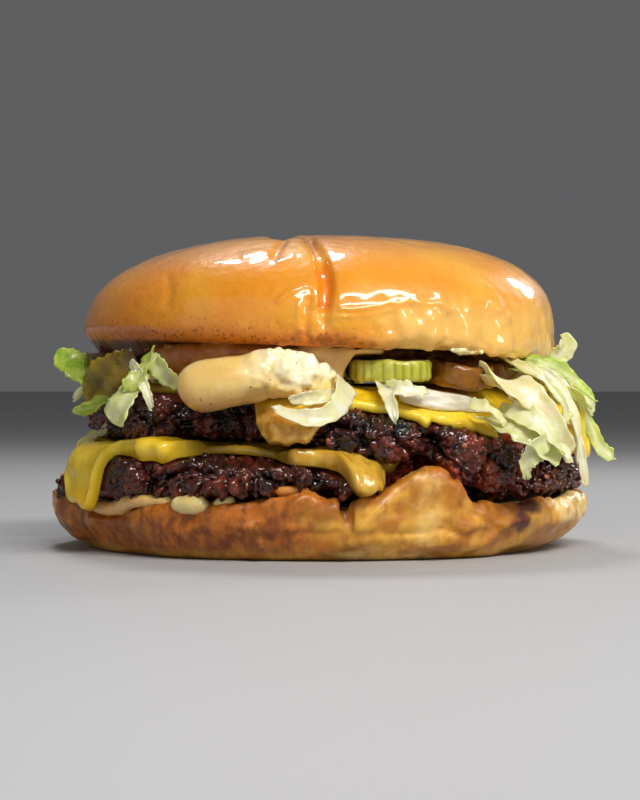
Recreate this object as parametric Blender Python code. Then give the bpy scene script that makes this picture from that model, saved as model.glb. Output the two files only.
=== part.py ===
"""A double cheeseburger: crown and heel of a potato roll, two craggy patties, two melted slices,
burger sauce, pickle chips, an onion strip and shredded lettuce.

The front faces -Y and the burger rests on Z = 0. Every layer is worked out in polar form: a heading
(degrees round the burger, 270 at the front, 0 at the right) and a profile of radius and height.
"""

import itertools
import math

import bmesh
import bpy
import numpy as np
from mathutils import Vector

MM = 0.001

# Driving dimensions
CROWN_RADIUS = 50.3 * MM
CROWN_HEIGHT = 24.1 * MM
CROWN_BASE = 42.3 * MM
CROWN_TILT = 0.03
HEEL_RADIUS = 56.8 * MM
HEEL_FOOT_RADIUS = 50.5 * MM
HEEL_FLOOR = 8.6 * MM
HEEL_RIM = 11.2 * MM
PATTY_THICKNESS = 9.2 * MM
PATTY_SHOULDER = 3.6 * MM
LOWER_PATTY_BASE = 11.3 * MM
PATTY_INTERFACE = 23.4 * MM
CHEESE_THICKNESS = 1.6 * MM
SAUCE_THICKNESS = 1.3 * MM
LETTUCE_BED = 1.4 * MM
SHRED_THICKNESS = 0.8 * MM
GAP = 0.5 * MM
HANGING_GAP = 0.4 * MM

# Headings shared by the stacked layers, so that neighbours bend at the same places
COLUMNS = 64
HEADINGS = np.arange(COLUMNS) * 360.0 / COLUMNS


def turned(angle, centre):
    """The signed turn in degrees from centre to angle."""
    return (np.asarray(angle, float) - centre + 180.0) % 360.0 - 180.0


def bump(angle, centre, width, width_after=None):
    """A smooth hill of height 1 at a heading, with another width after it if given."""
    turn = turned(angle, centre)
    widths = np.where(turn > 0, width if width_after is None else width_after, width)
    return np.exp(-((turn / widths) ** 2))


def ease(value):
    value = np.clip(value, 0.0, 1.0)
    return value * value * (3.0 - 2.0 * value)


def plateau(angle, start, end, soft):
    """1 between two headings, 0 outside, with soft sides."""
    middle, half = (start + end) / 2, (end - start) / 2
    return ease((half + soft - np.abs(turned(angle, middle))) / soft)


def hashed(cells, seed):
    """A number from -1 to 1 for each lattice cell."""
    n = cells[..., 0] * 374761393 + cells[..., 1] * 668265263 + cells[..., 2] * 1274126177
    n = (n + seed * 974634777) & 0xFFFFFFFF
    n = ((n ^ (n >> 13)) * 1274126177) & 0xFFFFFFFF
    return ((n ^ (n >> 16)) & 0xFFFFFF) / float(0x7FFFFF) - 1.0


def noise(points, cell, seed):
    """Smooth noise, about -1 to 1, whose lumps are one cell across."""
    scaled = np.asarray(points, float) / cell
    base = np.floor(scaled).astype(np.int64)
    within = scaled - base
    fade = within * within * (3.0 - 2.0 * within)
    total = np.zeros(scaled.shape[:-1])
    for corner in itertools.product((0, 1), repeat=3):
        weight = np.prod(np.where(corner, fade, 1.0 - fade), axis=-1)
        total += weight * hashed(base + np.array(corner), seed)
    return total


def ring_noise(angle, waves, seed):
    """Smooth noise round the burger, about -1 to 1, with that many waves in a turn."""
    spin = np.radians(np.asarray(angle, float))
    reach = waves / (2 * math.pi)
    circle = np.stack([np.cos(spin) * reach, np.sin(spin) * reach, np.full_like(spin, 0.37 * seed)], axis=-1)
    return noise(circle, 1.0, seed)


def at(radius, angle, height):
    """Points from radius, heading in degrees and height."""
    spin = np.radians(angle)
    radius, height = np.broadcast_arrays(radius, height)
    return np.stack([radius * np.cos(spin), radius * np.sin(spin), height], axis=-1)


def material(name, colour, roughness):
    made = bpy.data.materials.new(name)
    made.use_nodes = True
    shader = made.node_tree.nodes["Principled BSDF"]
    shader.inputs["Base Color"].default_value = (*colour, 1.0)
    shader.inputs["Roughness"].default_value = roughness
    shader.inputs["Metallic"].default_value = 0.0
    made.diffuse_color = (*colour, 1.0)
    return made


def object_from(name, bm, finish):
    bmesh.ops.recalc_face_normals(bm, faces=bm.faces)
    mesh = bpy.data.meshes.new(name)
    bm.to_mesh(mesh)
    bm.free()
    mesh.materials.append(finish)
    mesh.shade_smooth()
    made = bpy.data.objects.new(name, mesh)
    bpy.context.scene.collection.objects.link(made)
    return made


def closed_rings(rows, first_pole, last_pole):
    """A closed bmesh through rows of points, each a ring, with a pole at either end."""
    bm = bmesh.new()
    rings = [[bm.verts.new(point) for point in row] for row in rows]
    count = len(rings[0])
    for low, high in zip(rings, rings[1:]):
        for i in range(count):
            j = (i + 1) % count
            bm.faces.new((low[i], low[j], high[j], high[i]))
    for ring, pole in ((rings[0], first_pole), (rings[-1], last_pole)):
        tip = bm.verts.new(pole)
        for i in range(count):
            bm.faces.new((ring[i], ring[(i + 1) % count], tip))
    return bm


def pole_of(row):
    """The point on the axis at a ring's mean height."""
    return (0.0, 0.0, float(np.mean([point[2] for point in row])))


# The heel

def heel_radius(angle):
    """The heel's widest radius at a heading."""
    wander = 0.7 * MM * ring_noise(angle, 9, 11)
    tucked = 1.6 * MM * plateau(angle, 204, 222, 7) - 0.7 * MM * plateau(angle, 176, 200, 8)
    pleat = 1.1 * MM * ease(turned(angle, 274.5) / 3.0) * ease((330 - angle) / 40) * (angle > 200)
    return HEEL_RADIUS + wander - tucked + pleat


def heel_rim(angle):
    """The height of the heel's torn upper rim at a heading."""
    front = 2.7 * MM * bump(angle, 265, 9.5) + 6.8 * MM * bump(angle, 293.5, 11, 6.5)
    notch = 1.7 * MM * bump(angle, 275.2, 1.6)
    low = 2.2 * MM * bump(angle, 214, 9) - 1.1 * MM * plateau(angle, 174, 200, 8)
    back = 2.4 * MM * bump(angle, 62, 18) + 1.6 * MM * bump(angle, 150, 12)
    ragged = 0.55 * MM * ring_noise(angle, 17, 12)
    return HEEL_RIM + front - notch - low + back + ragged


def heel_profile(angle):
    """Radius and height pairs of the heel from its underside, round the rim, to its cut face."""
    widest, rim = heel_radius(angle), heel_rim(angle)
    lip = 2.6 * MM + 1.0 * MM * bump(angle, 293.5, 12, 8)
    undercut = np.maximum(plateau(angle, 322, 378, 14), 0.7 * plateau(angle, 178, 220, 18))
    foot = HEEL_FOOT_RADIUS + 0.6 * MM * ring_noise(angle, 7, 13) - 3.4 * MM * undercut
    floor = HEEL_FLOOR
    return [
        (foot * 0.5, 0.0),
        (foot, 0.0),
        (foot + 2.4 * MM, 0.9 * MM),
        (widest - 1.5 * MM - 2.2 * MM * undercut, 3.6 * MM),
        (widest - 0.2 * MM - 0.6 * MM * undercut, 6.6 * MM),
        (widest - 0.4 * MM, rim - 1.6 * MM),
        (widest - 1.6 * MM, rim - 0.3 * MM),
        (widest - 1.6 * MM - 0.5 * lip, rim),
        (widest - 1.9 * MM - lip, rim - 0.7 * MM),
        (widest - 3.4 * MM - lip, 0.45 * rim + 0.55 * floor),
        (widest - 5.6 * MM - lip, floor),
        (widest * 0.45, floor),
    ]


def heel(finish):
    angles = np.sort(np.concatenate([HEADINGS, [272.5, 273.8, 276.2, 277.5, 292.5, 297.5]]))
    rows = []
    for radius, height in heel_profile(angles):
        row = at(radius, angles, height)
        buckle = 0.7 * MM * noise(row, 9 * MM, 14) * ease(row[:, 2] / (5 * MM))
        row[:, :2] *= (1 + buckle / np.maximum(HEEL_FOOT_RADIUS, 1e-6))[:, None]
        rows.append(row)
    return object_from("heel", closed_rings(rows, (0, 0, 0), (0, 0, HEEL_FLOOR)), finish)


# Layers draped over a smooth contour

def contour_rows(profile, angles):
    """A profile's corners at each heading, and the length along it up to each corner."""
    each = np.ones((len(angles), 1))
    corners = np.stack([np.stack(np.broadcast_arrays(r, z), axis=-1) * each for r, z in profile])
    pieces = np.linalg.norm(np.diff(corners, axis=0), axis=-1)
    lengths = np.concatenate([np.zeros((1, len(angles))), np.cumsum(pieces, axis=0)])
    return corners, lengths


def along(corners, lengths, reach):
    """The point and outward normal at a length along each heading's contour."""
    points = np.empty((len(reach), 2))
    normals = np.empty((len(reach), 2))
    for i, length in enumerate(reach):
        for axis in (0, 1):
            points[i, axis] = np.interp(length, lengths[:, i], corners[:, i, axis])
        span = 0.6 * MM
        before = [np.interp(length - span, lengths[:, i], corners[:, i, a]) for a in (0, 1)]
        after = [np.interp(length + span, lengths[:, i], corners[:, i, a]) for a in (0, 1)]
        tangent = np.array(after) - np.array(before)
        tangent /= max(np.linalg.norm(tangent), 1e-9)
        normals[i] = (-tangent[1], tangent[0])
    return points, normals


def drape(name, contour, angles, stops, reach, thickness, finish):
    """A sheet on a contour, from the axis out to a reach at each heading, with a thicker edge where it hangs."""
    corners, lengths = contour
    spacing = 0.75 * MM
    bead = 0.7 * MM * ease((reach - lengths[-2]) / (2 * MM))
    count = len(stops)
    inner, outer = [], []
    for k, stop in enumerate(stops):
        length = np.minimum(stop, reach - (count - k) * spacing)
        points, normals = along(corners, lengths, length)
        swell = thickness + bead * ease(1 - (reach - length) / (3 * MM))
        gap = GAP + HANGING_GAP * ease((length - lengths[-4]) / (2 * MM))
        inner.append(points + normals * gap[:, None])
        outer.append(points + normals * (gap + swell)[:, None])
    points, normals = along(corners, lengths, reach)
    gap = GAP + HANGING_GAP * ease((reach - lengths[-4]) / (2 * MM))
    inner.append(points + normals * (gap + 0.25 * (thickness + bead))[:, None])
    outer.append(points + normals * (gap + 0.8 * (thickness + bead))[:, None])
    profile = inner + outer[::-1]
    rows = [at(p[:, 0], angles, p[:, 1]) for p in profile]
    return object_from(name, closed_rings(rows, pole_of(rows[0]), pole_of(rows[-1])), finish)


# The patties

def droop(angle):
    """How far the upper patty's edge sags at a heading."""
    table = (
        (0, 0.0), (190, 0.0), (215, 0.8), (240, 1.6), (256, 2.4), (270, 3.2), (282, 5.0), (294, 6.6),
        (308, 8.8), (318, 10.4), (326, 9.6), (334, 4.5), (344, 1.0), (352, 0.0), (360, 0.0),
    )
    turns, sags = zip(*table)
    back = 2.2 * bump(angle, 95, 22) + 1.6 * bump(angle, 40, 12)
    return (np.interp(np.asarray(angle) % 360, turns, sags) + back) * MM


def interface(radius, angle):
    """The height of the lower slice's top, where the upper patty rests, at a radius and heading."""
    return PATTY_INTERFACE - droop(angle) * ease((radius - 38 * MM) / (16 * MM))


def lower_radius(angle):
    lumps = 1.5 * bump(angle, 231, 6) + 1.7 * bump(angle, 252, 9) - 1.0 * bump(angle, 343, 10)
    gap = 1.2 * bump(angle, 240.5, 2.5)
    behind_lip = 10.0 * plateau(angle, 287, 312, 7) + 6.0 * bump(angle, 320, 7) + 3.2 * plateau(angle, 172, 200, 7)
    return (55.4 + lumps - gap - behind_lip + 1.1 * ring_noise(angle, 14, 21)) * MM


def lower_bottom(radius, angle):
    """The lower patty rests on the sauce and rides up over the heel's rim."""
    over_rim = np.maximum(heel_rim(angle) + 0.9 * MM - LOWER_PATTY_BASE, 0.0)
    return LOWER_PATTY_BASE + over_rim * ease((radius - 44 * MM) / (5 * MM))


def lower_top(radius, angle):
    return interface(radius, angle) - CHEESE_THICKNESS - GAP


def upper_radius(angle):
    tucked = 6.6 * plateau(angle, 234, 254, 7) + 3.4 * plateau(angle, 164, 212, 9) + 0.5 * bump(angle, 224, 6)
    lobes = 2.0 * bump(angle, 282, 7) + 2.4 * bump(angle, 312, 13) - 1.8 * bump(angle, 294.5, 3)
    drip = 2.6 * bump(angle, 263, 6)
    right = 4.2 * bump(angle, 343, 11)
    return (52.2 - tucked - drip + lobes + right + 1.0 * ring_noise(angle, 13, 22)) * MM


def upper_bottom(radius, angle):
    hung = 3.6 * MM * plateau(angle, 300, 317, 8) * ease((radius - 47.5 * MM) / (4 * MM))
    return interface(radius, angle) + GAP + 0.2 * droop(angle) - hung


def upper_top(radius, angle):
    thinner = 0.9 * MM * plateau(angle, 236, 262, 10)
    return interface(radius, angle) + PATTY_THICKNESS - thinner * ease((radius - 36 * MM) / (8 * MM))


LOWER = (lower_radius, lower_bottom, lower_top)
UPPER = (upper_radius, upper_bottom, upper_top)
SHARES = (0.45, 0.74, 0.91)
SHOULDER_TURNS = (0.0, 45.0, 90.0)
TUCKED = 1.1 * MM


def patty_side(shape, angle):
    """The radius where the shoulders start, and the heights of the lower and upper faces there."""
    radius_of, bottom_of, top_of = shape
    start = radius_of(angle) - PATTY_SHOULDER
    low, high = bottom_of(start, angle), top_of(start, angle)
    curve = np.minimum(PATTY_SHOULDER, 0.46 * (high - low))
    return start, low, high, curve


def patty_profile(shape, angle):
    """Radius and height pairs of the smooth upper contour, from the axis over the edge and straight down."""
    top_of = shape[2]
    start, _, high, curve = patty_side(shape, angle)
    pairs = [(np.zeros_like(start), top_of(0.0, angle))]
    pairs += [(start * share, top_of(start * share, angle)) for share in SHARES]
    for turn in SHOULDER_TURNS:
        bend = math.radians(turn)
        pairs.append((start + PATTY_SHOULDER * math.sin(bend), high - curve * (1 - math.cos(bend))))
    pairs.append((start + PATTY_SHOULDER, high - curve - 20 * MM))
    return pairs


def crags(points, seed):
    """How far the crust stands out: rounded lumps of two sizes."""
    lumps = 1.0 - np.abs(noise(points, 6.5 * MM, seed)) * 1.6
    grains = noise(points, 3.4 * MM, seed + 1)
    return 1.15 * lumps + 0.55 * grains


def patty(name, shape, reach_of, seed, finish):
    """A patty whose side is craggy wherever the slice on top doesn't cover it."""
    angles = HEADINGS
    _, bottom_of, top_of = shape
    start, low, high, curve = patty_side(shape, angles)
    lengths = contour_rows(patty_profile(shape, angles), angles)[1]
    down_side = lengths[-2] + high - curve
    nearby = np.stack([reach_of(angles + step) for step in (-8, -6, -3, 0, 3, 6, 8)])
    covered = nearby.max(axis=0) + 1.0 * MM
    rows = [(start * share, bottom_of(start * share, angles), 0.0, 0.0) for share in SHARES[1:]]
    for turn in SHOULDER_TURNS:
        bend = math.radians(turn)
        height = low + curve * (1 - math.cos(bend))
        rows.append((start + PATTY_SHOULDER * math.sin(bend), height, math.sin(bend), down_side - height))
    middle = 0.5 * (low + high)
    rows.append((start + PATTY_SHOULDER, middle, 1.0, down_side - middle))
    for turn, length in zip(SHOULDER_TURNS[::-1], lengths[-2:-5:-1]):
        bend = math.radians(turn)
        height = high - curve * (1 - math.cos(bend))
        rows.append((start + PATTY_SHOULDER * math.sin(bend), height, math.sin(bend), length))
    for share in SHARES[:0:-1]:
        rows.append((start * share, top_of(start * share, angles), 0.0, 0.0))
    made = []
    for k, (radius, height, facing, length) in enumerate(rows):
        bare = ease((length - covered) / (3 * MM))
        out = crags(at(radius, angles, height), seed) * facing * bare * MM
        shoulder = ease((radius / start - SHARES[1]) / (SHARES[2] - SHARES[1]))
        tucked = TUCKED * (1 - bare) * shoulder * (k > len(rows) // 2)
        made.append(at(radius + out - tucked * facing, angles, height - tucked * (1 - facing)))
    return object_from(name, closed_rings(made, pole_of(made[0]), pole_of(made[-1])), finish)


# The melted slices

def square_reach(angle, half_side, turn):
    """The distance from the axis to the side of a square slice whose corner is at a heading."""
    spin = np.radians(turned(angle, turn) + 45.0)
    side = np.maximum(np.abs(np.cos(spin)), np.abs(np.sin(spin)))
    return np.minimum(half_side / side, half_side * 1.28)


def edge_length(shape, angle, height):
    """The length along the contour at which it comes down to a height."""
    corners, lengths = contour_rows(patty_profile(shape, angle), angle)
    side = lengths[-2] + (corners[-2, :, 1] - height)
    return side


def lower_reach(angle):
    """How far the lower slice has melted out along the patty at a heading."""
    shoulder = lower_radius(angle) - 1.2 * MM
    melted = np.minimum(square_reach(angle, 46 * MM, 205), shoulder + 3.0 * MM)
    runs = (
        (209.5, 4.5, 10.5, 4.0), (215, 4.5, 8.3, 3.8), (276, 12.5, 19.0, 8.5), (282, 4.5, 14.2, 4.0), (266, 4, 20.0, 5.0),
        (20, 9.0, 13.5, 9.0), (112, 8.0, 15.0, 10.0), (160, 5, 17.0, 5.0), (72, 4, 18.5, 5.0),
    )
    reach = melted
    for heading, width, height, after in runs:
        full = edge_length(LOWER, angle, height * MM)
        reach = reach + (np.maximum(full, reach) - reach) * bump(angle, heading, width, after)
    return reach + 0.8 * MM * ring_noise(angle, 16, 31) - 7.0 * MM * plateau(angle, 297, 328, 9)


def upper_reach(angle):
    """How far the upper slice has melted out along the patty at a heading."""
    shoulder = upper_radius(angle) - 1.6 * MM
    melted = np.minimum(square_reach(angle, 45 * MM, 258), shoulder + 2.0 * MM)
    short = 4.2 * MM * plateau(angle, 216, 250, 8) - 1.5 * MM * plateau(angle, 284, 322, 6)
    runs = (
        (263, 5.5, 24.0, 5.5), (343, 9.0, 19.0, 8.0), (292, 3, 25.5, 2.5), (150, 8.0, 27.0, 7.0),
        (78, 10.0, 22.0, 9.0), (120, 4, 27.0, 4.0), (28, 8, 26.0, 8.0),
    )
    reach = melted - short
    for heading, width, height, after in runs:
        full = edge_length(UPPER, angle, height * MM)
        reach = reach + (np.maximum(full, reach) - reach) * bump(angle, heading, width, after)
    return reach + 0.7 * MM * ring_noise(angle, 15, 32)


def slice_on(name, shape, reach_of, finish):
    contour = contour_rows(patty_profile(shape, HEADINGS), HEADINGS)
    stops = contour[1][2:7]
    return drape(name, contour, HEADINGS, stops, reach_of(HEADINGS), CHEESE_THICKNESS, finish)


# The sauces

def base_sauce(finish):
    """The sauce between heel and lower patty."""
    angles = HEADINGS[::2]
    inside = heel_radius(angles) - 10.5 * MM
    bottom = HEEL_FLOOR + GAP
    top = bottom + SAUCE_THICKNESS
    rows = [
        at(inside * 0.55, angles, bottom),
        at(inside, angles, bottom),
        at(inside + 0.7 * MM, angles, bottom + 0.5 * SAUCE_THICKNESS),
        at(inside, angles, top),
        at(inside * 0.55, angles, top),
    ]
    return object_from("base_sauce", closed_rings(rows, pole_of(rows[0]), pole_of(rows[-1])), finish)


def crown_underside(points):
    """The height of the crown's cut face above points."""
    return CROWN_BASE - CROWN_TILT * points[..., 0]


def sauce_radius(angle):
    bays = 17 * plateau(angle, 278, 350, 5) + 13 * plateau(angle, 180, 204, 5)
    bays = bays + 13 * plateau(angle, 85, 112, 5)
    return (44.5 - bays + 1.2 * ring_noise(angle, 9, 41)) * MM


def sauce_layer():
    angles = np.arange(48) * 7.5
    radius = sauce_radius(angles)
    low = BED_TOP + GAP
    rows = []
    for share, level in ((0.6, 0.0), (0.97, 0.0), (1.0, 0.35), (0.985, 0.85), (0.95, 1.0), (0.55, 1.0)):
        flat = at(radius * share, angles, 0.0)
        high = crown_underside(flat) - GAP
        flat[:, 2] = low + (high - low) * level
        rows.append(flat)
    return closed_rings(rows, pole_of(rows[0]), (0, 0, float(crown_underside(np.zeros(3)) - GAP)))


def tube(path, radii, sides, squash=1.0):
    """A closed tube with round ends through points, as a bmesh."""
    path = [Vector(p) for p in path]
    rings = []
    for i, (point, radius) in enumerate(zip(path, radii)):
        ahead = path[min(i + 1, len(path) - 1)] - path[max(i - 1, 0)]
        ahead.normalize()
        side = ahead.cross(Vector((0, 0, 1))).normalized()
        up = side.cross(ahead).normalized()
        turns = [2 * math.pi * k / sides for k in range(sides)]
        across, over = side * radius, up * radius * squash
        rings.append([point + across * math.cos(t) + over * math.sin(t) for t in turns])
    return closed_rings(rings, path[0], path[-1])


def smooth_path(points, count):
    """Points read from a smooth curve through the given ones."""
    points = [np.array(p, float) for p in points]
    padded = [2 * points[0] - points[1], *points, 2 * points[-1] - points[-2]]
    made = []
    for k in range(count):
        place = k * (len(points) - 1) / (count - 1)
        i = min(int(place), len(points) - 2)
        t = place - i
        a, b, c, d = padded[i:i + 4]
        squared = (2 * a - 5 * b + 4 * c - d) * t**2
        cubed = (3 * b - 3 * c + d - a) * t**3
        made.append(0.5 * (2 * b + (c - a) * t + squared + cubed))
    return made


# The dollop that has squeezed out at the front, as centre points and radii in millimetres
DOLLOP = (
    (-25.6, -47.0, 34.6, 2.4), (-23.9, -47.6, 34.6, 4.4), (-20.5, -49.0, 34.6, 5.2), (-14.5, -51.0, 34.7, 5.3),
    (-8.5, -51.3, 35.9, 4.7), (-3.0, -49.6, 36.4, 4.3), (-0.5, -46.0, 37.4, 3.2), (-0.5, -41.0, 38.6, 2.2),
)


def dollop():
    path = smooth_path([np.array(p) for p in DOLLOP], 17)
    return tube([p[:3] * MM for p in path], [p[3] * MM for p in path], 12)


# Pickle chips as centre, radius, thickness and tilts in millimetres and degrees
PICKLES = {
    "pickle_front": (14.1, -36.8, 37.6, 8.2, 4.4, 2.0, 0.0),
    "pickle_right": (28.3, -29.6, 37.0, 7.3, 4.6, 7.0, 8.0),
    "pickle_side": (35.6, -17.2, 37.2, 6.9, 4.4, 4.0, 7.0),
    "pickle_left": (-41.4, -9.0, 39.4, 8.2, 3.4, 1.0, -2.0),
    "pickle_back": (-6.0, 40.8, 38.4, 8.0, 3.2, -2.0, 0.0),
}


def pickle(name, numbers, finish):
    x, y, z, radius, thickness, lean_x, lean_y = numbers
    bm = bmesh.new()
    across, deep = radius * MM, thickness * MM
    bmesh.ops.create_cone(bm, cap_ends=True, segments=16, radius1=across, radius2=across, depth=deep)
    rims = [edge for edge in bm.edges if abs(edge.verts[0].co.z - edge.verts[1].co.z) < 1e-9]
    bmesh.ops.bevel(bm, geom=rims, offset=0.5 * MM, segments=1, affect="EDGES")
    made = object_from(name, bm, finish)
    made.location = (x * MM, y * MM, z * MM)
    made.rotation_euler = (math.radians(lean_x), math.radians(lean_y), 0)
    return made


def cheese_top(radius, angle):
    return upper_top(radius, angle) + GAP + CHEESE_THICKNESS


def onion(finish):
    """A strip of onion that lies on the slope of the upper slice at the front right."""
    angles = np.linspace(288.5, 308.5, 11)
    middle = 47.2 * MM + 0.6 * MM * np.sin(np.radians((angles - 288.5) * 14))
    width = 2.0 * MM * np.sqrt(np.clip(1 - (turned(angles, 298.5) / 10.6) ** 2, 0.05, 1))
    sides = []
    for across, lift in ((-1, 0.0), (0, 0.0), (1, 0.0), (1, 1.0), (0, 1.3), (-1, 1.0)):
        radius = middle + across * width
        height = cheese_top(radius, angles) + GAP * 1.6 + lift * 1.2 * MM + 0.5 * MM
        sides.append(at(radius, angles, height))
    bm = bmesh.new()
    rings = [[bm.verts.new(side[i]) for side in sides] for i in range(len(angles))]
    for low, high in zip(rings, rings[1:]):
        for i in range(6):
            j = (i + 1) % 6
            bm.faces.new((low[i], low[j], high[j], high[i]))
    bm.faces.new(rings[0])
    bm.faces.new(rings[-1])
    return object_from("onion", bm, finish)


# The lettuce

BED_BASE = PATTY_INTERFACE + PATTY_THICKNESS + CHEESE_THICKNESS + 2 * GAP
BED_TOP = BED_BASE + LETTUCE_BED


def lettuce_bed():
    angles = np.arange(40) * 9.0
    bay = 15 * plateau(angles, 279, 348, 6)
    radius = (40.0 - bay + 1.5 * ring_noise(angles, 9, 51)) * MM
    rows = [
        at(radius * 0.6, angles, BED_BASE),
        at(radius, angles, BED_BASE),
        at(radius, angles, BED_TOP),
        at(radius * 0.6, angles, BED_TOP),
    ]
    return closed_rings(rows, pole_of(rows[0]), pole_of(rows[-1]))


# Shreds as root-to-tip points (radius, heading, height in millimetres and degrees), then width in millimetres
SHREDS = (
    (((37, 186, 36.0), (46, 186.5, 36.0), (53, 189, 37.4), (58.5, 192, 40.6)), 5.0),
    (((36, 205, 36.0), (47, 206, 35.9), (54, 207, 31.5), (55, 206, 27.5)), 5.0),
    (((36, 219, 36.0), (47, 218, 35.8), (52.5, 217, 31.5), (54, 215.5, 26.8)), 6.0),
    (((36, 228, 36.0), (46, 226.5, 35.9), (51, 225.5, 33.0), (52.5, 224, 29.5)), 3.6),
    (((34, 275, 36.0), (45, 277, 35.8), (51, 275, 33.4), (54.8, 272, 29.0)), 3.6),
    (((34, 271, 36.0), (45.5, 278, 35.8), (51, 283, 34.0), (55, 285, 29.8)), 3.6),
    (((25, 352, 36.0), (40, 350, 36.1), (52, 346, 36.2), (58.5, 343, 32.0), (60.5, 342, 25.5)), 6.5),
    (((36, 357, 36.0), (48, 355, 36.4), (57, 352, 34.5), (61.5, 350, 28.0), (62.5, 348.5, 20.5)), 6.0),
    (((36, 3, 36.0), (46.5, 2, 36.2), (51.5, 359, 38.0), (55.5, 356, 37.0)), 6.0),
    (((36, 12, 36.0), (46, 12, 36.2), (54, 10, 34.5), (57.5, 8, 30.0)), 6.0),
    (((36, 33, 36.0), (46, 34, 36.0), (53.5, 36, 33.5), (56.0, 38, 28.5)), 5.0),
    (((36, 56, 36.0), (46, 55, 36.0), (53.0, 53, 34.5), (57.0, 50, 32.0)), 5.5),
    (((36, 80, 36.0), (46, 81, 36.0), (53.0, 82, 33.5), (55.5, 84, 28.0)), 6.0),
    (((36, 122, 36.0), (46, 123, 36.0), (53.0, 125, 33.5), (55.5, 128, 28.5)), 5.0),
    (((36, 141, 36.0), (46, 140, 36.0), (53.0, 138, 35.0), (57.5, 135, 33.0)), 5.5),
)

# The folded shreds that hang at the front right, in millimetres: x, y and height from root to tip
HANGING = (
    (((39.5, -4.5, 36.0), (46.5, -13.0, 35.9), (47.0, -22.0, 34.5), (45.5, -30.5, 30.5), (43.8, -38.0, 24.0),
      (43.0, -40.0, 17.0)), 6.0),
    (((39.5, -3.0, 36.4), (47.6, -9.4, 37.2), (50.0, -18.5, 36.5), (49.5, -27.0, 32.0), (50.0, -32.5, 25.0),
      (51.0, -33.5, 18.5)), 6.0),
)


def shred(points, width, seed):
    """A thin wavy strip from the bed outwards: both faces cut alike, and a rim."""
    path = smooth_path(points, 7)
    draw = np.random.default_rng(seed)
    phase = draw.uniform(0, 2 * math.pi)
    bm = bmesh.new()
    upper, lower = [], []
    for i, point in enumerate(path):
        share = i / (len(path) - 1)
        ahead = path[min(i + 1, len(path) - 1)] - path[max(i - 1, 0)]
        ahead = ahead / np.linalg.norm(ahead)
        out = np.array([point[0], point[1], 0.0])
        out /= np.linalg.norm(out)
        side = np.cross(out, (0, 0, 1))
        side -= ahead * side.dot(ahead)
        side /= np.linalg.norm(side)
        normal = np.cross(side, ahead)
        half = 0.5 * width * MM * (0.75 + 0.35 * math.sin(math.pi * share) - 0.45 * share**3)
        ruffle = 0.5 * MM * math.sin(phase + share * 9)
        offsets = ((-half, ruffle), (0.0, -0.3 * MM), (half, -ruffle))
        upper.append([bm.verts.new(point + side * s + normal * (n + SHRED_THICKNESS / 2)) for s, n in offsets])
        lower.append([bm.verts.new(point + side * s + normal * (n - SHRED_THICKNESS / 2)) for s, n in offsets])
    last = len(path) - 1
    for i in range(last):
        for j in range(2):
            bm.faces.new((upper[i][j], upper[i][j + 1], upper[i + 1][j + 1], upper[i + 1][j]))
            bm.faces.new((lower[i][j], lower[i + 1][j], lower[i + 1][j + 1], lower[i][j + 1]))
        for j in (0, 2):
            bm.faces.new((upper[i][j], upper[i + 1][j], lower[i + 1][j], lower[i][j]))
    for i in (0, last):
        for j in range(2):
            bm.faces.new((upper[i][j], lower[i][j], lower[i][j + 1], upper[i][j + 1]))
    return bm


def united(name, shapes, finish):
    """One solid from several closed shapes, joined by a Boolean union on a collection."""
    group = bpy.data.collections.new(name + "_pieces")
    bpy.context.scene.collection.children.link(group)
    base = object_from(name, shapes[0], finish)
    for i, shape in enumerate(shapes[1:]):
        piece = object_from(f"{name}_piece_{i}", shape, finish)
        bpy.context.scene.collection.objects.unlink(piece)
        group.objects.link(piece)
    union = base.modifiers.new("join", "BOOLEAN")
    union.operation = "UNION"
    union.operand_type = "COLLECTION"
    union.collection = group
    union.solver = "EXACT"
    bpy.context.view_layer.update()
    joined = bpy.data.meshes.new_from_object(base.evaluated_get(bpy.context.evaluated_depsgraph_get()))
    base.modifiers.clear()
    base.data = joined
    for piece in list(group.objects):
        bpy.data.objects.remove(piece)
    bpy.data.collections.remove(group)
    return base


# The crown

# Creases in the glazed top as plan points in millimetres, then depth and half-width
CREASES = (
    (((-3.0, -4.0), (-0.5, -18.0), (1.0, -32.0), (2.0, -43.0), (0.6, -50.0)), 2.2, 2.3),
    (((-7.5, 16.0), (-8.5, 2.0), (-8.0, -10.0), (-9.5, -20.0)), 1.9, 2.2),
    (((8.0, 50.0), (4.0, 36.0), (-3.0, 22.0), (-7.5, 16.0)), 1.8, 2.4),
)


def crease_depth(x, y):
    """How far the creases pull the crust in at plan points."""
    total = np.zeros(np.broadcast(x, y).shape)
    for points, depth, half_width in CREASES:
        path = smooth_path([(px * MM, py * MM, 0) for px, py in points], 24)
        nearest = np.full(total.shape, 1.0)
        for start, end in zip(path, path[1:]):
            run = end[:2] - start[:2]
            share = ((x - start[0]) * run[0] + (y - start[1]) * run[1]) / run.dot(run)
            share = np.clip(share, 0, 1)
            away = np.hypot(x - start[0] - share * run[0], y - start[1] - share * run[1])
            nearest = np.minimum(nearest, away)
        total = np.maximum(total, depth * MM * np.exp(-((nearest / (half_width * MM)) ** 2)))
    return total


def crown_radius(angle):
    return CROWN_RADIUS + 0.5 * MM * ring_noise(angle, 6, 61) - 0.6 * MM * bump(angle, 270, 4)


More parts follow.
